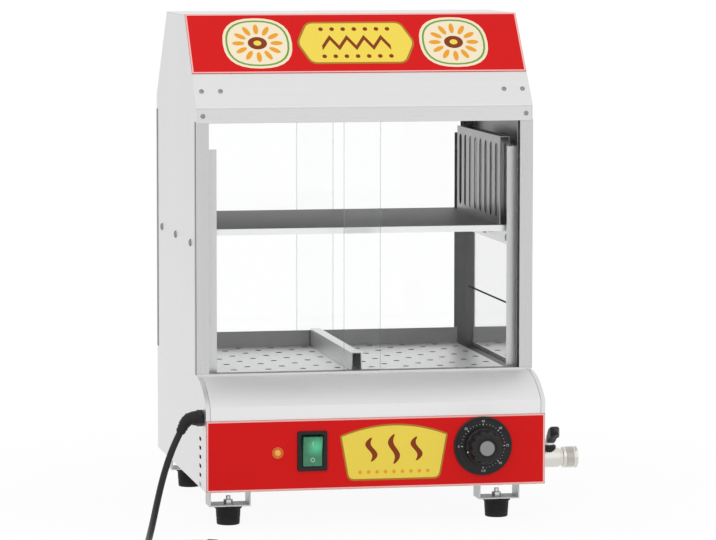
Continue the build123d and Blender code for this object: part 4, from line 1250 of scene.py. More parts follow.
@dataclass
class RedPlates:
    """The red printed plates, each with a thin pale border painted as the highlight along its edge, and its
    coloured emblems.
    """

    red: Enamel = Enamel("red_print")
    # painted highlight: the pale border stands in for light along the plates' edges
    pale: Enamel = Enamel("edge_highlight_print", (0.84, 0.5, 0.47), 0.42)
    yellow: Enamel = Enamel("yellow_print", (0.86, 0.67, 0.09), 0.4)
    gold: Enamel = Enamel("gold_print", (0.42, 0.2, 0.03), 0.4)
    amber: Enamel = Enamel("amber_print", (0.82, 0.36, 0.03), 0.32)
    brown: Enamel = Enamel("brown_print", (0.24, 0.045, 0.012), 0.32)
    cream: Enamel = Enamel("cream_print", (0.88, 0.78, 0.58), 0.34)
    green: Enamel = Enamel("green_print", (0.16, 0.36, 0.05), 0.34)
    half_width: float = 179.7
    panel_bottom: float = 37.9
    panel_top: float = 112.0
    petals: int = 12
    front: float = 61.5
    eave: float = 433.0
    ridge: float = 527.5
    roof_run: float = 79.5
    sign_start: float = 44.0
    sheet: float = 0.6

    def make(self, shop: Workshop) -> None:
        """Dress both plates and lay the inks on them, one piece for each ink and plate."""
        shop.edged("control_panel", self.red, 0.15)
        shop.edged("header_sign", self.red, 0.15)
        rise = self.ridge - self.eave
        length = math.hypot(rise, self.roof_run)
        up = (0.0, self.roof_run / length, rise / length)
        sign_length = length - self.sign_start - 0.3
        middle = self.sign_start + sign_length / 2
        lift = self.sheet
        origin = (
            0.0,
            self.front + middle * up[1] - lift * up[2],
            self.eave + middle * up[2] + lift * up[1],
        )
        self._lay(shop, "header", self._header_inks(sign_length), axes_at(origin, up=up), "header_sign")
        self._lay(shop, "panel", self._panel_inks(), axes_at((0, 0, 0)), "control_panel")

    def _lay(
        self, shop: Workshop, plate: str, inks: Mapping[Enamel, Solid], frame: Array, like: str
    ) -> None:
        """Make one piece of each ink on a plate."""
        for ink, solid in inks.items():
            shop.piece(f"{plate}_{ink.name}", solid.placed(frame), [ink], like)

    def _border(self, width: float, height: float, rise: float) -> Solid:
        """A hairline frame just inside the edge of a plate, centred on the origin, in a pale pink that
        paints the highlight along the edge.
        """
        outer = rounded_box(width - 0.6, height - 0.6, 1.0, 4)
        inner = rounded_box(width - 3.8, height - 3.8, 0.6, 4)
        return ring_tile(outer, inner, -0.02, rise)

    def _chevrons(self, width: float, swing: float, peaks: int, thickness: float) -> Array:
        """Outline of a zigzag band: its middle line runs up and down by swing between peaks."""
        count = 2 * peaks + 1
        x = np.linspace(-width / 2, width / 2, count)
        z = swing * np.where(np.arange(count) % 2, 1.0, -1.0)
        upper = np.column_stack([x, z + thickness / 2])
        lower = np.column_stack([x, z - thickness / 2])
        return np.concatenate([lower, upper[::-1]])

    def _header_inks(self, height: float) -> dict[Enamel, Solid]:
        """The upper sign: a long yellow hexagon with a zigzag and dots, and a rosette each side.

        The petals of a rosette stand at even turns on an ellipse about its heart.

        Args:
            height: Length of the sign up the slope.

        Returns:
            The solid of each ink, about the middle of the sign.
        """
        hexagon = softened([(-62, 0), (-50, -26), (50, -26), (62, 0), (50, 26), (-50, 26)], 6.0)
        rim = tile(inset(hexagon, -2.2), 0.0, 0.1)
        body = tile(hexagon, 0.0, 0.18)
        zigzag = tile(self._chevrons(74, 7.0, 4, 6.4), 0.0, 0.26)
        upper_dots = [tile(shifted(circle(2.5, 24), x, 18.2), 0.0, 0.26) for x in np.linspace(-36, 36, 7)]
        lower_dots = [tile(shifted(circle(2.5, 24), x, -18.2), 0.0, 0.26) for x in np.linspace(-36, 36, 7)]
        dots = sum(upper_dots[1:] + lower_dots, upper_dots[0])
        petal = circle(1.0, 20) * np.array([6.6, 2.7])
        cream = greens = bars = toast = gloss = None
        for x in (-106.0, 106.0):
            disc = tile(shifted(rounded_box(74, 67, 29), x, 0), 0.0, 0.1)
            ring = ring_tile(
                shifted(rounded_box(68, 61, 27), x, 0), shifted(rounded_box(64, 57, 25), x, 0), 0.0, 0.18
            )
            heart = tile(shifted(circle(8.2, 32) * np.array([1.25, 1.0]), x, 0), 0.0, 0.26)
            eye = tile(shifted(circle(3.4, 24) * np.array([1.25, 1.0]), x, 0), 0.0, 0.34)
            for turn in np.linspace(0, 2 * math.pi, self.petals, endpoint=False):
                place = (x + 20.5 * math.cos(turn), 18.5 * math.sin(turn), math.degrees(turn))
                leaf = tile(shifted(petal, *place), 0.0, 0.22)
                toast = leaf if toast is None else toast + leaf
            cream = disc if cream is None else cream + disc
            greens = ring if greens is None else greens + ring
            bars = heart if bars is None else bars + heart
            gloss = eye if gloss is None else gloss + eye
        # painted highlight along the sign's edge
        border = self._border(2 * self.half_width, height, 0.08)
        return {
            self.pale: border,
            self.gold: rim,
            self.cream: cream,
            self.yellow: body + gloss,
            self.green: greens,
            self.amber: toast,
            self.brown: zigzag + dots + bars,
        }

    def _panel_inks(self) -> dict[Enamel, Solid]:
        """The lower plate: a yellow shield with an arched top, three curls of steam and a row of dots, and a
        pale frame just inside the plate's edge that paints its highlight."""
        centre_x, low, high, crown = 18.0, 48.0, 92.5, 103.2
        x = np.linspace(1, -1, 41)
        arch = np.column_stack([centre_x + 55.5 * x, high + (crown - high) * (1 - x**2)])
        shield = np.concatenate([[(centre_x - 47.5, low), (centre_x + 47.5, low)], arch])
        shield = softened(shield[[0, 1]].tolist() + arch.tolist(), [5.0, 5.0] + [0.6] * len(arch), 4)
        rim = tile(inset(shield, -1.8), 0.0, 0.1)
        body = tile(shield, 0.0, 0.18)
        curls = None
        for place, size in ((-24.0, 25.0), (0.0, 31.0), (24.0, 25.0)):
            curl = tile(shifted(wavy_line(size, 3.6, 1.0, 6.6), centre_x + place, 78.5), 0.0, 0.26)
            curls = curl if curls is None else curls + curl
        dot = circle(1.9, 24)
        dots = [tile(shifted(dot, centre_x + x, 55.0), 0.0, 0.26) for x in np.linspace(-36, 36, 9)]
        marks = sum(dots[1:], dots[0])
        middle = (self.panel_bottom + self.panel_top) / 2
        # painted highlight along the plate's edge
        border = self._border(2 * self.half_width, self.panel_top - self.panel_bottom, 0.08)
        return {
            self.pale: border.placed(axes_at((0, middle, 0), (1, 0, 0), (0, 1, 0))),
            self.gold: rim,
            self.yellow: body,
            self.brown: curls,
            self.amber: marks,
        }


@dataclass
class DoorGlass:
    """The four sliding panes, with clear faces and ground edges."""

    clear: ClearPane = ClearPane("door_glass")
    ground: PaneEdge = PaneEdge("ground_glass_edge")
    arris: float = 0.45

    def make(self, shop: Workshop) -> None:
        """Make each pane as a slab with a small arris round both faces."""
        for node in ("front_pane_left", "front_pane_right", "rear_pane_left", "rear_pane_right"):
            low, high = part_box(node)
            width, depth, height = ((high[i] - low[i]) / MM for i in range(3))
            middle = [(high[i] + low[i]) / 2 / MM for i in range(3)]
            outline = rounded_box(width, height, 1.2, 4)
            insets = (self.arris, 0.0, 0.0, self.arris)
            levels = (-depth / 2, self.arris - depth / 2, depth / 2 - self.arris, depth / 2)
            rings = [
                np.column_stack([inset(outline, cut), np.full(len(outline), level)])
                for cut, level in zip(insets, levels)
            ]
            pane = stacked(np.array(rings)).coated(1)
            pane.coats[-2:] = [0, 0]
            x = middle[0] - shop.datum.across / MM
            y = middle[1] - shop.datum.deep / MM
            placed = pane.placed(axes_at((x, y, middle[2])))
            shop.piece(f"{node}_glass", placed, [self.clear, self.ground], node, [node], 20.0)


@dataclass
class Switch:
    """The lit rocker switch in its moulded black frame."""

    plastic: MouldedPlastic = MouldedPlastic("switch_black", (0.012, 0.012, 0.013), 0.32)
    mark: Enamel = Enamel("switch_mark_pale", (0.42, 0.66, 0.52), 0.4)
    centre: tuple[float, float] = (-68.5, 78.6)
    bezel: tuple[float, float] = (31.8, 42.0)
    window: tuple[float, float] = (21.0, 32.2)
    rise: float = 2.0
    barrel: tuple[float, float] = (26.6, 36.6)
    depth: float = 16.0
    rocker: tuple[float, float] = (20.0, 31.2)
    crest: float = 4.2
    valley: float = 2.2
    back: float = 6.0
    slope: float = 4.0
    tilt: float = 7.0

    def make(self, shop: Workshop) -> None:
        """Make the frame with its housing and blades, then the rocker with its two marks."""
        frame = axes_at((self.centre[0], 0.0, self.centre[1]))
        shop.piece(
            "switch_frame", self._housing().placed(frame), [self.plastic], "switch_body", ["switch_body"]
        )
        lens = LitLens(
            "rocker_green",
            (0.01, 0.26, 0.11),
            (0.12, 0.8, 0.42),
            tuple(shop.datum.metres([[self.centre[0] + 3.5, -3.0, self.centre[1] + 5.0]])[0]),
            13 * MM,
            0.4,
            4200.0,
        )
        shop.piece(
            "rocker_lens", self._rocker().placed(frame), [lens], "switch_rocker", ["switch_rocker"]
        )
        shop.piece("rocker_marks", self._marks().placed(frame), [self.mark], "switch_rocker")

    def _housing(self) -> Solid:
        """Nested rounded rectangles: up the bezel's draft, over its crown, down the window, and
        round the housing behind the plate, closed into one ring; its back wall carries blades."""
        width, height = self.bezel
        levels = [
            (rounded_box(width, height, 2.0), 0.0),
            (rounded_box(width - 0.2, height - 0.2, 2.0), 0.9),
            (rounded_box(width - 0.9, height - 0.9, 1.9), 1.7),
            (rounded_box(width - 2.2, height - 2.2, 1.6), self.rise),
            (rounded_box(self.window[0] + 3.2, self.window[1] + 3.2, 1.4), self.rise),
            (rounded_box(self.window[0] + 1.6, self.window[1] + 1.6, 1.1), self.rise - 0.35),
            (rounded_box(self.window[0], self.window[1], 0.6), self.rise - 1.4),
            (rounded_box(self.window[0], self.window[1], 0.6), 2.0 - self.depth),
            (rounded_box(self.barrel[0] - 3, self.barrel[1] - 3, 0.6), 2.0 - self.depth),
            (rounded_box(self.barrel[0], self.barrel[1], 1.0), 1.4 - self.depth),
            (rounded_box(self.barrel[0], self.barrel[1], 1.0), 0.0),
        ]
        rings = [np.column_stack([line, np.full(len(line), level)]) for line, level in levels]
        ring = grid(np.array(rings), close_rows=True, close_columns=True)
        back = tile(rounded_box(self.barrel[0] - 2, self.barrel[1] - 2, 0.8), -self.depth, 2.2 - self.depth)
        solid = ring + back
        for x in (-5.0, 5.0):
            for y in (-7.0, 7.0):
                blade = tile(shifted(rounded_box(1.0, 6.0, 0.3, 3), x, y), -self.depth - 8.0, -self.depth)
                solid = solid + blade
        return solid

    def _section(self) -> Array:
        """The rocker seen from the side, tilted: two slopes that meet in a soft valley."""
        half = self.rocker[1] / 2
        corners = [
            (half, 0.0),
            (half, self.crest),
            (0.0, self.valley),
            (-half, self.crest),
            (-half, 0.0),
            (self.slope - half, -self.back),
            (half - self.slope, -self.back),
        ]
        section = softened(corners, [0.3, 1.1, 7.0, 1.1, 0.3, 0.6, 0.6], 9)
        return self._tilted(section)

    def _tilted(self, section: Array) -> Array:
        """Turn points of height and reach by the rocker's tilt about the pivot."""
        turn = math.radians(-self.tilt)
        cosine, sine = math.cos(turn), math.sin(turn)
        return section @ np.array([[cosine, -sine], [sine, cosine]])

    def _rocker(self) -> Solid:
        """The side section carried across, and shrunk by 0.5 over the last 0.6 at each side."""
        section = self._section()
        half = self.rocker[0] / 2
        middle = section.mean(axis=0)
        across = np.array([-half, -half + 0.15, -half + 0.6, half - 0.6, half - 0.15, half])
        shrink = np.array([0.5, 0.18, 0.0, 0.0, 0.18, 0.5])
        reach = np.linalg.norm(section - middle, axis=1, keepdims=True)
        rings = [
            np.column_stack(
                [np.full(len(section), x), middle + (section - middle) * (1 - cut / reach)]
            )
            for x, cut in zip(across, shrink)
        ]
        return stacked(np.array(rings))

    def _marks(self) -> Solid:
        """A bar on the upper slope and a ring on the lower one, 0.05 proud of the lens."""
        rise = self.crest - self.valley
        half = self.rocker[1] / 2
        lean = math.atan2(rise, half)
        turn = math.radians(-self.tilt)
        solid: Optional[Solid] = None
        for side in (1.0, -1.0):
            angle = side * lean
            place = self._tilted(np.array([[side * half * 0.56, self.valley + 0.56 * rise]]))[0]
            up = np.array([0.0, math.cos(angle - turn), math.sin(angle - turn)])
            frame = axes_at((0.0, place[0], place[1]), (1, 0, 0), tuple(up))
            if side > 0:
                mark = tile(rounded_box(0.9, 4.6, 0.3, 4), -0.3, 0.07)
            else:
                mark = ring_tile(circle(2.3, 32), circle(1.6, 32), -0.3, 0.07)
            solid = mark.placed(frame) if solid is None else solid + mark.placed(frame)
        return solid


@dataclass
class PilotLamp:
    """The small amber lamp: a bright rim with its sleeve in the same finish, and a domed lens."""

    rim: MouldedPlastic = MouldedPlastic("lamp_rim", (0.62, 0.13, 0.02), 0.3)
    centre: tuple[float, float] = (-105.0, 77.5)

    def make(self, shop: Workshop) -> None:
        """Turn the rim with its sleeve and the lens about the lamp's axis."""
        frame = axes_at((self.centre[0], 0.0, self.centre[1]))
        sleeve = np.array(
            [
                (5.9, 0.0),
                (6.15, 0.35),
                (5.95, 0.95),
                (5.4, 1.2),
                (4.6, 1.0),
                (4.05, 0.6),
                (4.0, -15.4),
                (4.4, -16.0),
                (4.8, -15.4),
                (4.8, -0.1),
            ]
        )
        body = revolved(softened(sleeve, 0.25, 4), 56, closed=True)
        shop.piece("lamp_sleeve", body.placed(frame), [self.rim], "lamp_body", ["lamp_body"])
        turn = np.linspace(0, math.pi / 2, 12)
        dome = np.column_stack([3.95 * np.cos(turn), 0.6 + 1.75 * np.sin(turn)])
        profile = np.concatenate([[(0.0, -5.8), (3.95, -5.8)], dome[:-1], [(0.0, 2.35)]])
        lens = LitLens(
            "lamp_amber",
            (0.8, 0.3, 0.02),
            (1.0, 0.42, 0.05),
            tuple(shop.datum.metres([[self.centre[0], -1.0, self.centre[1]]])[0]),
            6 * MM,
            0.35,
        )
        dome_piece = revolved(profile, 56).placed(frame)
        shop.piece("lamp_dome", dome_piece, [lens], "lamp_lens", ["lamp_lens"])


@dataclass
class ThermostatDial:
    """The printed black dial plate and the fluted knob with its spun cap."""

    plate: MouldedPlastic = MouldedPlastic("dial_black", (0.014, 0.014, 0.015), 0.36)
    moulded: MouldedPlastic = MouldedPlastic("knob_black", (0.013, 0.013, 0.014), 0.34)
    ink: Enamel = Enamel("dial_print", (0.6, 0.6, 0.58), 0.4)
    pointer: Enamel = Enamel("pointer_white", (0.85, 0.85, 0.84), 0.35)
    centre: tuple[float, float] = (112.8, 79.4)
    radius: float = 31.0
    thickness: float = 2.4
    knob_back: float = 3.0
    knob_length: float = 19.0
    skirt_radius: float = 19.5
    grip_radius: float = 18.0
    flutes: int = 12
    cap_radius: float = 10.0
    figures: tuple[str, ...] = ("0", "30", "45", "60", "75", "90", "110")

    def make(self, shop: Workshop) -> None:
        """Make the plate, its print, the knob, the cap and the pointer."""
        frame = axes_at((self.centre[0], 0.0, self.centre[1]))
        shop.piece("dial_plate", self._plate().placed(frame), [self.plate], "dial_bezel", ["dial_bezel"])
        shop.piece("dial_scale", self._scale().placed(frame), [self.ink], "dial_bezel")
        shop.piece(
            "fluted_knob", self._knob().placed(frame), [self.moulded], "thermostat_knob", ["thermostat_knob"]
        )
        middle = tuple(shop.datum.metres([[self.centre[0], -self.knob_back - 15.0, self.centre[1]]])[0])
        spun = BrightMetal("spun_cap", (0.28, 0.28, 0.28), 0.34, middle)
        back = np.array([0.0, self.knob_back])
        disc = revolved(np.array([(0.0, 17.1), (7.7, 17.1), (7.7, 18.4), (0.0, 18.4)]) + back, 96)
        ring = np.array([(7.6, 17.1), (9.9, 17.1), (9.95, 18.2), (9.6, 18.55), (8.2, 18.6), (7.6, 18.3)])
        cap = disc + revolved(ring + back, 96, closed=True).coated(1)
        shop.piece("spun_cap", cap.placed(frame), [spun, self.moulded], "knob_cap", ["knob_cap"])
        dot = tile(shifted(circle(0.9, 20), -17.6, -5.3), 4.7, 5.5)
        lifted = axes_at((0, 0, self.knob_back), (1, 0, 0), (0, 1, 0))
        shop.piece("knob_pointer", dot.placed(lifted).placed(frame), [self.pointer], "thermostat_knob")
        shop.dress("thermostat", BrightMetal("thermostat_case", (0.6, 0.6, 0.61), 0.4))
        shop.dress("thermostat_shaft", BrightMetal("turned_shaft", (0.62, 0.62, 0.62), 0.25))

    def _plate(self) -> Solid:
        """A thin ring with a raised outer rim and a shallow dish inside it."""
        profile = np.array(
            [
                (self.radius, 0.0),
                (self.radius, 1.6),
                (self.radius - 0.9, self.thickness),
                (self.radius - 2.2, self.thickness),
                (self.radius - 2.9, 2.05),
                (21.0, 1.95),
                (4.0, 1.95),
                (4.0, 0.0),
            ]
        )
        return revolved(softened(profile, 0.3, 4), 128, closed=True)

    def _scale(self) -> Solid:
        """Ticks every 9 degrees over 270, each fifth one long, and figures at the seven marks."""
        solid: Optional[Solid] = None
        for index in range(31):
            angle = math.radians(180 - 9 * index)
            long = index % 5 == 0
            width, length = (0.8, 1.9) if long else (0.4, 1.1)
            outline = shifted(rounded_box(length, width, 0.15, 3), 23.6 - length / 2, 0)
            turned = shifted(outline, 0, 0, math.degrees(angle))
            tick = tile(turned, 1.9, 2.12)
            solid = tick if solid is None else solid + tick
        for index, text in enumerate(self.figures):
            angle = math.radians(180 - 45 * index)
            figure = lettered(text, 3.4, 1.9, 2.12)
            moved = axes_at((26.2 * math.cos(angle), 26.2 * math.sin(angle), 0), (1, 0, 0), (0, 1, 0))
            solid = solid + figure.placed(moved)
        return solid

    def _profile(self) -> Array:
        """Radius and height of the knob from its skirt over the grip to the recess for the cap."""
        return softened(
            [
                (3.05, 0.0),
                (self.skirt_radius - 0.3, 0.0),
                (self.skirt_radius, 0.5),
                (self.skirt_radius, 4.2),
                (self.skirt_radius - 0.5, 5.0),
                (self.grip_radius + 0.1, 5.3),
                (self.grip_radius - 1.2, self.knob_length - 2.2),
                (self.grip_radius - 3.0, self.knob_length),
                (self.cap_radius + 0.8, self.knob_length),
                (self.cap_radius, self.knob_length - 0.5),
                (self.cap_radius, self.knob_length - 2.0),
                (3.05, self.knob_length - 2.0),
                (3.05, 8.0),
            ],
            [0.1, 0.3, 0.5, 0.5, 0.4, 0.5, 1.6, 1.6, 0.5, 0.3, 0.2, 0.2, 0.1],
            5,
        )

    def _knob(self) -> Solid:
        """The profile turned about the axis, its grip scooped by flutes: the radius falls by
        1.5 max(0, cos(n a))^3 between the skirt and the crown."""
        profile = self._profile()
        angle = np.linspace(0, 2 * math.pi, 288, endpoint=False)[None, :]
        radius, height = profile[:, :1], profile[:, 1:]
        outside = (radius > self.cap_radius + 2.5).astype(float)
        above = np.clip((height - 5.2) / 0.8, 0, 1)
        depth = 1.5 * outside * above * np.clip((radius - 12.0) / 3.0, 0, 1)
        wave = np.clip(np.cos(self.flutes * angle), 0, None) ** 1.5
        swung = radius - depth * wave
        points = np.stack(
            [swung * np.cos(angle), swung * np.sin(angle), height + self.knob_back + 0 * angle], axis=-1
        )
        return grid(points, close_rows=True, close_columns=True)


@dataclass
class DrainValve:
    """The plated drain valve with its hexagon nut, threads, black lever and the pipe to the pan."""

    plated: BrightMetal = BrightMetal("nickel_plate", (0.72, 0.7, 0.66), 0.22)
    plastic: MouldedPlastic = MouldedPlastic("lever_black", (0.014, 0.014, 0.015), 0.4)
    washer: MouldedPlastic = MouldedPlastic("washer_grey", (0.32, 0.32, 0.31), 0.5)
    half_width: float = 180.0
    place: tuple[float, float] = (95.0, 51.0)
    stem: float = 27.0
    nut_radius: float = 12.5
    boss_top: float = 64.5
    hub_top: float = 71.0
    lever_reach: float = 40.0

    def make(self, shop: Workshop) -> None:
        """Make the body, the ball with its stem, the lever and the washer."""
        frame = axes_at((self.half_width, self.place[0], self.place[1]), (0, 1, 0), (0, 0, 1))
        body = self._barrel().placed(frame) + self._hexagon().placed(frame)
        boss_frame = axes_at((self.half_width + self.stem, *self.place), (1, 0, 0), (0, 1, 0))
        body = body + self._boss().placed(boss_frame).coated(1)
        finishes = [self.plated, self.plastic]
        shop.piece("drain_valve", body, finishes, "valve_body", ["valve_body"], 28.0)
        shop.dress("valve_ball", BrightMetal("polished_ball", (0.8, 0.79, 0.76), 0.12))
        shop.dress("drain_elbow", BrightMetal("brass_pipe", (0.6, 0.42, 0.2), 0.3))
        finishes = [self.plastic, self.plated]
        shop.piece("drain_lever", self._lever(), finishes, "valve_lever", ["valve_lever"], 50.0)
        gasket = revolved(
            softened(np.array([(11.6, 6.2), (13.4, 6.2), (13.4, 8.6), (11.6, 8.6)]), 0.4, 4), 64, closed=True
        )
        shop.piece("valve_washer", gasket.placed(frame), [self.washer], "valve_body")

    def _barrel(self) -> Solid:
        """The valve's outline turned about its axis, with five rounded threads by the outlet."""
        thread = np.linspace(0, 1, 61)[1:-1]
        ridges = np.column_stack(
            [self.nut_radius - 1.5 + 0.45 * np.cos(2 * math.pi * 6 * thread), 45.0 + 9.0 * thread]
        )
        lead_in = [(5.5, -8.0), (6.9, -8.0), (7.0, -7.6), (7.0, 0.0), (11.4, 0.0), (12.1, 0.7), (12.1, 5.4)]
        neck = [(11.0, 8.0), (10.5, 9.2), (10.5, 37.5), (10.1, 38.6), (9.2, 39.0), (9.2, 42.0), (10.9, 42.4)]
        lip = [(11.2, 55.4), (11.6, 56.2), (11.9, 57.4), (11.4, 58.0)]
        mouth = [*lip, (7.0, 58.0), (6.05, 57.2), (6.05, 36.0)]
        throat = [(5.5, 35.4), (5.5, 33.0), (5.5, -7.0)]
        profile = np.concatenate([lead_in, neck, ridges, mouth, throat])
        return revolved(profile, 96, closed=True)

    def _hexagon(self) -> Solid:
        """A hexagon flange against the side sheet with rounded corners on both faces."""
        outline = softened(circle(14.2, 6, math.radians(15)), 1.2, 4)
        levels = ((1.0, 1.9), (0.25, 2.6), (0.0, 3.4), (0.0, 4.6), (0.25, 5.4), (1.0, 6.1), (2.6, 6.2))
        rings = [
            np.column_stack([inset(outline, cut), np.full(len(outline), level)]) for cut, level in levels
        ]
        return stacked(np.array(rings))

    def _boss(self) -> Solid:
        """The black cap round the stem's boss: a plain lip over a ribbed skirt, whose radius
        swings by 0.25 with the cosine of 24 turns."""
        profile = softened(
            [
                (0.0, 6.0),
                (8.2, 6.0),
                (8.2, 11.2),
                (8.5, 11.6),
                (8.5, 13.1),
                (8.1, 13.5),
                (3.1, 13.5),
                (3.1, 12.4),
                (0.0, 12.4),
            ],
            0.25,
            3,
            closed=False,
        )
        cap = revolved(profile, 192)
        x, y, height = cap.points.T
        skirt = (np.hypot(x, y) > 8.0) & (height < 11.0)
        swing = 1.0 + 0.03 * skirt * np.cos(24 * np.arctan2(y, x))
        return Solid(cap.points * np.column_stack([swing, swing, 1.0 + 0 * swing]), cap.faces, cap.coats)

    def _lever(self) -> Solid:
        """The lever: a plated arm with a hub round the stem, and a black sleeve over its grip.

        The arm's middle line leaves the hub level, climbs, and runs level to the tip; its section
        is a rounded rectangle that thickens towards the grip. The sleeve is a tenth wider than the
        arm, and closes over the last twentieth of the line.
        """
        x = self.half_width + self.stem
        y, top = self.place[0], self.hub_top
        line = softened(
            [
                (x, y + 5.0, top - 1.6),
                (x, y - 8.8, top - 1.6),
                (x, y - 23.0, top + 11.2),
                (x, y - self.lever_reach + 0.2, top + 11.3),
            ],
            [1.0, 6.0, 8.0, 1.0],
            14,
            closed=False,
        )
        share = np.linspace(0, 1, len(line))
        closing = np.minimum(1.0, np.sqrt(np.clip((1.0 - share) / 0.05, 0.0, 1.0)) * 0.75 + 0.25)
        opening = np.minimum(1.0, np.sqrt(np.clip(share / 0.04, 0.0, 1.0)) * 0.6 + 0.4)
        thick = np.interp(share, [0.0, 0.3, 0.6, 1.0], [0.24, 0.5, 1.0, 1.0]) * closing * opening
        wide = np.interp(share, [0.0, 0.3, 0.7, 1.0], [0.86, 0.9, 1.0, 1.0]) * closing * opening
        section = rounded_box(10.0, 12.4, 2.6, 6)
        along = np.gradient(line, axis=0)
        along /= np.linalg.norm(along, axis=1, keepdims=True)
        lift = np.cross(np.array([1.0, 0.0, 0.0]), along) * -1.0
        sideways = section[None, :, :1] * wide[:, None, None] * np.array([1.0, 0.0, 0.0])
        upwards = section[None, :, 1:] * thick[:, None, None] * lift[:, None]
        grip_start = int(np.searchsorted(share, 0.36))
        arm = stacked((line[:, None] + 0.86 * (sideways + upwards))[: grip_start + 2])
        sleeve = stacked((line[:, None] + sideways + upwards)[grip_start:])
        base = self.boss_top + 0.35
        hub = revolved(
            softened(
                [(0.0, base), (6.8, base), (7.0, base + 1.0), (7.0, top - 1.0), (6.0, top), (0.0, top)],
                0.4,
                4,
                closed=False,
            ),
            48,
        )
        turned = hub.placed(axes_at((x, y, 0.0), (1, 0, 0), (0, 1, 0)))
        return sleeve + arm.coated(1) + turned.coated(1)


@dataclass
class RubberFeet:
    """Four turned rubber feet with a collar, a grooved rim and a dished sole."""

    rubber: FootRubber = FootRubber("foot_rubber")
    places: tuple[tuple[str, float, float], ...] = (
        ("front_left", -152.0, 31.0),
        ("front_right", 135.0, 31.0),
        ("rear_left", -152.0, 297.0),
        ("rear_right", 135.0, 297.0),
    )

    def make(self, shop: Workshop) -> None:
        """Turn one profile at each place."""
        profile = softened(
            [
                (0.0, 0.9),
                (8.0, 0.9),
                (9.2, 0.0),
                (11.4, 0.0),
                (12.0, 0.7),
                (12.4, 6.2),
                (12.0, 6.8),
                (12.5, 7.4),
                (12.95, 16.2),
                (13.5, 17.0),
                (14.3, 17.1),
                (14.5, 17.6),
                (14.5, 19.4),
                (13.9, 20.0),
                (0.0, 20.0),
            ],
            0.45,
            4,
            closed=False,
        )
        foot = revolved(profile, 72)
        for name, x, y in self.places:
            node = f"rubber_foot_{name}"
            placed = foot.placed(axes_at((x, y, 0.0), (1, 0, 0), (0, 1, 0)))
            shop.piece(f"turned_foot_{name}", placed, [self.rubber], node, [node], 40.0)


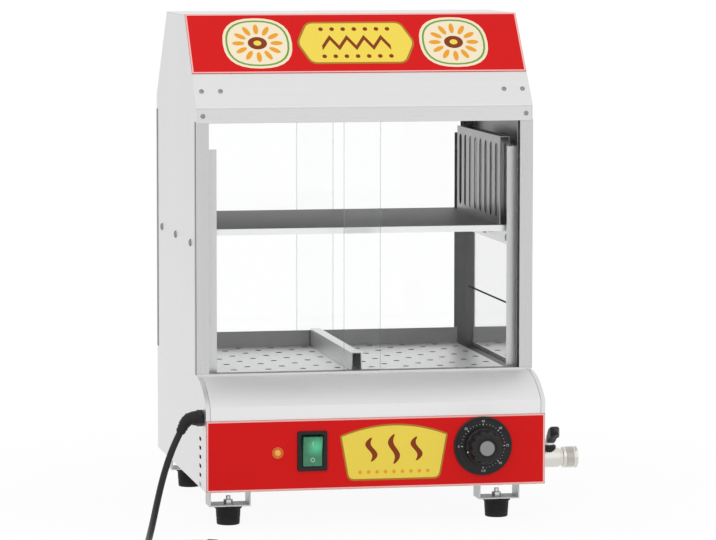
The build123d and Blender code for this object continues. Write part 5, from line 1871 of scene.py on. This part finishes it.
@dataclass
class MainsLead:
    """The mains lead: its strain relief, the run down to the table, the tied coil and the plug."""

    jacket: FlexJacket = FlexJacket("black_flex")
    moulded: MouldedPlastic = MouldedPlastic("plug_black", (0.012, 0.012, 0.013), 0.45)
    strap: MouldedPlastic = MouldedPlastic("strap_black", (0.02, 0.02, 0.022), 0.7, 0.06 * MM)
    pins: BrightMetal = BrightMetal("pin_nickel", (0.75, 0.73, 0.68), 0.18)
    diameter: float = 7.0
    length: float = 1.49
    run: tuple[Point, ...] = (
        (-198.5, 22.0, 108.5),
        (-207.0, 20.5, 93.0),
        (-216.5, 13.5, 74.0),
        (-225.5, 0.0, 53.5),
        (-234.0, -21.0, 34.0),
        (-243.0, -50.0, 16.0),
        (-252.0, -84.0, 4.8),
        (-259.0, -118.0, 3.6),
        (-263.0, -148.0, 3.6),
        (-264.0, -176.0, 3.6),
    )
    tail: tuple[Point, ...] = (
        (-263.2, -204.0, 10.4),
        (-263.0, -224.0, 9.6),
        (-261.0, -244.0, 13.0),
        (-259.0, -263.0, 18.0),
        (-259.0, -281.0, 18.0),
    )
    coil_centre: tuple[float, float] = (-220.0, -192.0)
    gland: tuple[float, float, float] = (-180.0, 22.0, 113.0)
    hexagon_radius: float = 8.8
    strap_angle: float = 60.0

    def coil_points(self) -> Array:
        """Five turns in two layers, 24 points to the turn.

        With t the number of turns made, the angle is half a turn plus t turns. The radius falls
        from 43.9 by 7.4 a turn until t = 2, stays until 2.5, grows back until 4.5, and stays. The
        height is that of the table layer until t = 1.95 and rises to the upper layer by 2.4. The
        points stand out by one part in 116, by which such a curve cuts inside its points.
        """
        turns = np.arange(1, 120) / 24.0
        radius = np.interp(turns, [0.0, 2.0, 2.5, 4.5, 5.0], [43.9, 29.1, 29.1, 43.9, 43.9]) / 0.9914
        angle = math.pi + 2 * math.pi * turns
        height = np.interp(turns, [0.0, 1.95, 2.4, 5.0], [3.6, 3.6, 10.8, 10.8])
        x = self.coil_centre[0] + radius * np.cos(angle)
        y = self.coil_centre[1] + radius * np.sin(angle)
        return np.column_stack([x, y, height])

    def make(self, shop: Workshop) -> None:
        route = np.concatenate([np.array(self.run), self.coil_points(), np.array(self.tail)])
        points = shop.datum.metres(route)
        curve = bpy.data.curves.new("mains_lead", "CURVE")
        curve.dimensions = "3D"
        curve.resolution_u = 5
        spline = curve.splines.new("NURBS")
        spline.points.add(len(points) - 1)
        spline.points.foreach_set("co", np.column_stack([points, np.ones(len(points))]).ravel())
        spline.order_u = 3
        spline.use_endpoint_u = True
        lead = bpy.data.objects.new("mains_lead", curve)
        bpy.context.scene.collection.objects.link(lead)
        middle = self._centreline(lead)
        curve.bevel_depth = self.diameter / 2 * MM
        curve.bevel_resolution = 5
        curve.use_fill_caps = True
        curve.materials.append(shop.material(self.jacket))
        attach(lead, "cabinet")
        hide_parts("power_cord", "cord_coil", "plug_lead")
        relief = self._relief(shop, middle)
        plug, pins = self._plug(shop)
        strap = self._strap(shop)
        LOG.info("mains_lead: %d points", len(points))

    @staticmethod
    def _centreline(lead: bpy.types.Object) -> Array:
        """Points along the lead's own line, in metres."""
        mesh = bpy.data.meshes.new_from_object(lead)
        points = np.empty(3 * len(mesh.vertices))
        mesh.vertices.foreach_get("co", points)
        bpy.data.meshes.remove(mesh)
        return points.reshape(-1, 3)

    def _relief(self, shop: Workshop, middle: Array) -> bpy.types.Object:
        """The gland's hexagon and its bent sleeve, ribbed and tapered along the lead's first
        centimetre: the radius falls from 7.6 to 4.5 while seven ribs stand 0.45 proud of it."""
        x, y, z = self.gland
        outline = softened(circle(self.hexagon_radius, 6, math.radians(30)), 0.8, 4)
        levels = ((0.8, 0.0), (0.0, 0.5), (0.0, 6.2), (0.9, 7.0), (2.2, 7.05))
        rings = [
            np.column_stack([inset(outline, cut), np.full(len(outline), level)]) for cut, level in levels
        ]
        nut = stacked(np.array(rings)).placed(axes_at((x, y, z), (0, -1, 0)))
        offset = np.array([shop.datum.across, shop.datum.deep, 0.0])
        lead = (middle - offset) / MM
        reach = np.concatenate([[0.0], np.cumsum(np.linalg.norm(np.diff(lead, axis=0), axis=1))])
        stations = np.linspace(0.0, 12.0, 14)
        along = np.column_stack([np.interp(stations, reach, lead[:, axis]) for axis in range(3)])
        bend = softened(
            [(x - 6.5, y, z), (x - 14.0, y, z - 0.2), tuple(along[0])], [1.0, 5.0, 1.0], 18, closed=False
        )
        path = np.concatenate([bend[:-1], along])
        step = np.concatenate([[0.0], np.cumsum(np.linalg.norm(np.diff(path, axis=0), axis=1))])
        fine = np.linspace(0.0, step[-1], 120)
        line = np.column_stack([np.interp(fine, step, path[:, axis]) for axis in range(3)])
        share = fine / fine[-1]
        taper = np.interp(share, [0.0, 0.12, 0.25, 1.0], [7.6, 7.5, 6.6, 4.5])
        wave = np.clip(np.sin(2 * math.pi * 7 * share), 0, 1) ** 0.5
        rib = 0.45 * wave * np.clip((share - 0.2) / 0.1, 0, 1)
        closing = 1 - 0.18 * np.clip((share - 0.985) / 0.015, 0, 1)
        sleeve = swept(circle(1.0, 40), line, (taper + rib) * closing, (0.0, 1.0, 0.0))
        return shop.piece("strain_relief", nut + sleeve, [self.moulded], "cord_gland", ["cord_gland"], 50.0)

    def _plug(self, shop: Workshop) -> tuple[bpy.types.Object, bpy.types.Object]:
        """The round moulded plug, its grip flutes and its two pins.

        The grip's radius falls by 0.9 max(0, cos 18a)^2 over its middle length.
        """
        x, y, z = self.tail[-1]
        frame = axes_at((x, y, z), (1, 0, 0), (0, 0, 1))
        rib = np.arange(5) * 2.0
        ribs = np.column_stack(
            [
                np.stack([5.0 + 0 * rib, 5.9 + 0 * rib, 5.9 + 0 * rib, 5.0 + 0 * rib], axis=1).ravel(),
                np.stack([0.6 + rib, 0.9 + rib, 1.7 + rib, 2.0 + rib], axis=1).ravel(),
            ]
        )
        corners = [
            (0.0, 0.0),
            (4.6, 0.0),
            *ribs.tolist(),
            (7.2, 12.5),
            (8.4, 17.0),
            (14.0, 22.5),
            (17.4, 27.5),
            (18.0, 30.0),
            (18.0, 38.6),
            (17.2, 40.0),
            (0.0, 40.0),
        ]
        rounds = [0.1, 0.3] + [0.35] * len(ribs) + [1.5, 2.5, 2.5, 1.5, 1.2, 0.8, 0.6, 0.1]
        profile = softened(corners, rounds, 5, closed=False)
        angle = np.linspace(0, 2 * math.pi, 216, endpoint=False)[None, :]
        radius, height = profile[:, :1], profile[:, 1:]
        band = np.clip((height - 21.0) / 4.0, 0, 1) * np.clip((37.5 - height) / 2.5, 0, 1)
        swung = radius - 0.9 * band * (radius > 9) * np.clip(np.cos(18 * angle), 0, None) ** 2
        body = grid(
            np.stack([swung * np.cos(angle), swung * np.sin(angle), height + 0 * angle], axis=-1),
            close_columns=True,
        )
        plug = shop.piece(
            "moulded_plug", body.placed(frame), [self.moulded], "power_plug", ["power_plug"], 40.0
        )
        turn = np.linspace(0, math.pi / 2, 7)
        tip = np.column_stack([2.4 * np.cos(turn), 57.0 + 2.0 * np.sin(turn)])
        shank = [(0.0, 39.0), (2.4, 39.0), (2.4, 57.0)]
        pin = revolved(np.concatenate([shank, tip[1:-1], [(0.0, 59.0)]]), 32)
        pair = [pin.placed(axes_at((side * 9.5, 0, 0), (1, 0, 0), (0, 1, 0))) for side in (-1.0, 1.0)]
        contacts = shop.piece("plug_pins", (pair[0] + pair[1]).placed(frame), [self.pins], "power_plug")
        return plug, contacts

    def _strap(self, shop: Workshop) -> bpy.types.Object:
        """A hook-and-loop strap round the bundle: a rounded loop of radius and height, 9 wide and
        0.7 thick, square to the coil's turns."""
        corners = [(27.2, 0.06), (42.6, 0.06), (48.1, 8.2), (47.4, 14.6), (27.2, 14.6), (25.4, 8.0)]
        loop = softened(corners, 3.4, 8)
        outer = inset(loop, -0.7)
        outer[:, 1] = np.maximum(outer[:, 1], 0.02)
        angle = math.radians(self.strap_angle)
        out = np.array([math.cos(angle), math.sin(angle), 0.0])
        along = np.array([-math.sin(angle), math.cos(angle), 0.0])
        centre = np.array([*self.coil_centre, 0.0])
        rings = []
        for line, reach in ((loop, -4.5), (outer, -4.5), (outer, 4.5), (loop, 4.5)):
            rings.append(centre + line[:, :1] * out + line[:, 1:] * np.array([0, 0, 1.0]) + reach * along)
        solid = grid(np.array(rings), close_rows=True, close_columns=True)
        return shop.piece("coil_strap", solid, [self.strap], "cord_coil")


# ---------------------------------------------------------------------------------- studio
@dataclass
class Studio:
    """The camera, the pale floor, the white surroundings and the soft lamps."""

    eye: Point = (-787.1, -3841.3, 640.3)
    lens: float = 191.13
    shift: tuple[float, float] = (0.0625, -0.0374)
    turn: tuple[float, float, float] = (84.95, 0.0, -10.61)
    ambient: float = 0.82
    near_white: float = 0.92
    near_reach: tuple[float, float] = (0.25, 0.8)

    def place_camera(self, shop: Workshop) -> None:
        """Stand the camera in front, a little to the left and above the table."""
        camera = bpy.data.cameras.new("view")
        camera.sensor_fit = "HORIZONTAL"
        camera.sensor_width = 36.0
        camera.lens = self.lens
        camera.shift_x, camera.shift_y = self.shift
        camera.clip_end = 200.0
        holder = bpy.data.objects.new("view", camera)
        holder.location = shop.datum.metres([self.eye])[0]
        holder.rotation_euler = tuple(math.radians(angle) for angle in self.turn)
        bpy.context.scene.collection.objects.link(holder)
        bpy.context.scene.camera = holder

    @staticmethod
    def _seen(graph: FinishGraph) -> Signal:
        """1 for rays that come straight, mirrored or through glass from the camera."""
        paths = graph.node("ShaderNodeLightPath", {}, {})
        camera = graph.output(paths, "Is Camera Ray")
        glossy = graph.output(paths, "Is Glossy Ray")
        return camera.at_least(glossy).at_least(graph.output(paths, "Is Transmission Ray"))

    def surround(self) -> None:
        """White surroundings for the eye and for mirrored and transmitted rays, grey light else."""
        world = bpy.data.worlds.new("surroundings")
        world.use_nodes = True
        graph = FinishGraph("surroundings", world)
        grey = (self.ambient,) * 3
        colour = graph.blend(self._seen(graph), grey, (1.0, 1.0, 1.0))
        light = graph.node("ShaderNodeBackground", {}, {"Color": colour, "Strength": 1.0})
        graph.node("ShaderNodeOutputWorld", {}, {"Surface": light})
        bpy.context.scene.world = world

    def lay_floor(self) -> None:
        """A plain floor: a share of it is plain white to the eye, and the rest takes the shadow.

        The share grows to the whole with the distance from the steamer.
        """
        graph = FinishGraph("pale_floor")
        matt = graph.node("ShaderNodeBsdfDiffuse", {}, {"Color": (0.86, 0.86, 0.86)})
        white = graph.node("ShaderNodeEmission", {}, {"Color": (1.0, 1.0, 1.0), "Strength": 1.0})
        across, deep, _ = graph.axes()
        away = (across * across + deep * deep) ** 0.5
        spread = away.step(*self.near_reach) * (1.0 - self.near_white) + self.near_white
        share = self._seen(graph) * spread
        material = graph.finish(graph.node("ShaderNodeMixShader", {}, {0: share, 1: matt, 2: white}))
        across = np.linspace(-40.0, 40.0, 5)
        x, y = np.meshgrid(across, across, indexing="ij")
        solid = grid(np.stack([x, y, 0 * x], axis=-1))
        mesh = bpy.data.meshes.new("pale_floor")
        mesh.from_pydata(solid.points.tolist(), [], solid.faces)
        mesh.materials.append(material)
        floor = bpy.data.objects.new("pale_floor", mesh)
        bpy.context.scene.collection.objects.link(floor)

    def hang_lamps(self, shop: Workshop) -> None:
        """Three broad soft lamps: high left, right, and overhead."""
        lamps = (
            ("left_lamp", (-1500.0, -2300.0, 2100.0), 4.0, 22.0),
            ("right_lamp", (2300.0, -1900.0, 1500.0), 3.6, 9.0),
            ("top_lamp", (200.0, -100.0, 2700.0), 2.6, 9.0),
        )
        target = Vector(shop.datum.metres([[0.0, 170.0, 240.0]])[0])
        for name, place, size, power in lamps:
            light = bpy.data.lights.new(name, "AREA")
            light.size = size
            light.energy = power
            holder = bpy.data.objects.new(name, light)
            holder.location = shop.datum.metres([place])[0]
            holder.rotation_euler = (target - holder.location).to_track_quat("-Z", "Y").to_euler()
            holder.visible_camera = False
            holder.visible_glossy = name != "top_lamp"
            bpy.context.scene.collection.objects.link(holder)


def main() -> None:
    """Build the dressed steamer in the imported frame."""
    logging.basicConfig(level=logging.INFO, format="%(name)s: %(message)s")
    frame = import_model()
    shop = Workshop(frame, Datum.from_frame())
    studio = Studio()
    studio.place_camera(shop)
    MainsLead().make(shop)
    for assembly in (
        CabinetSheets(),
        Fasteners(),
        RedPlates(),
        DoorGlass(),
        Switch(),
        PilotLamp(),
        ThermostatDial(),
        DrainValve(),
        RubberFeet(),
    ):
        assembly.make(shop)
    shop.dress("heating_element", HeatedSheath("heated_sheath"))
    studio.surround()
    studio.lay_floor()
    studio.hang_lamps(shop)
    bpy.context.scene.view_settings.view_transform = "Standard"
    bpy.context.view_layer.update()


if __name__ == "__main__":
    main()
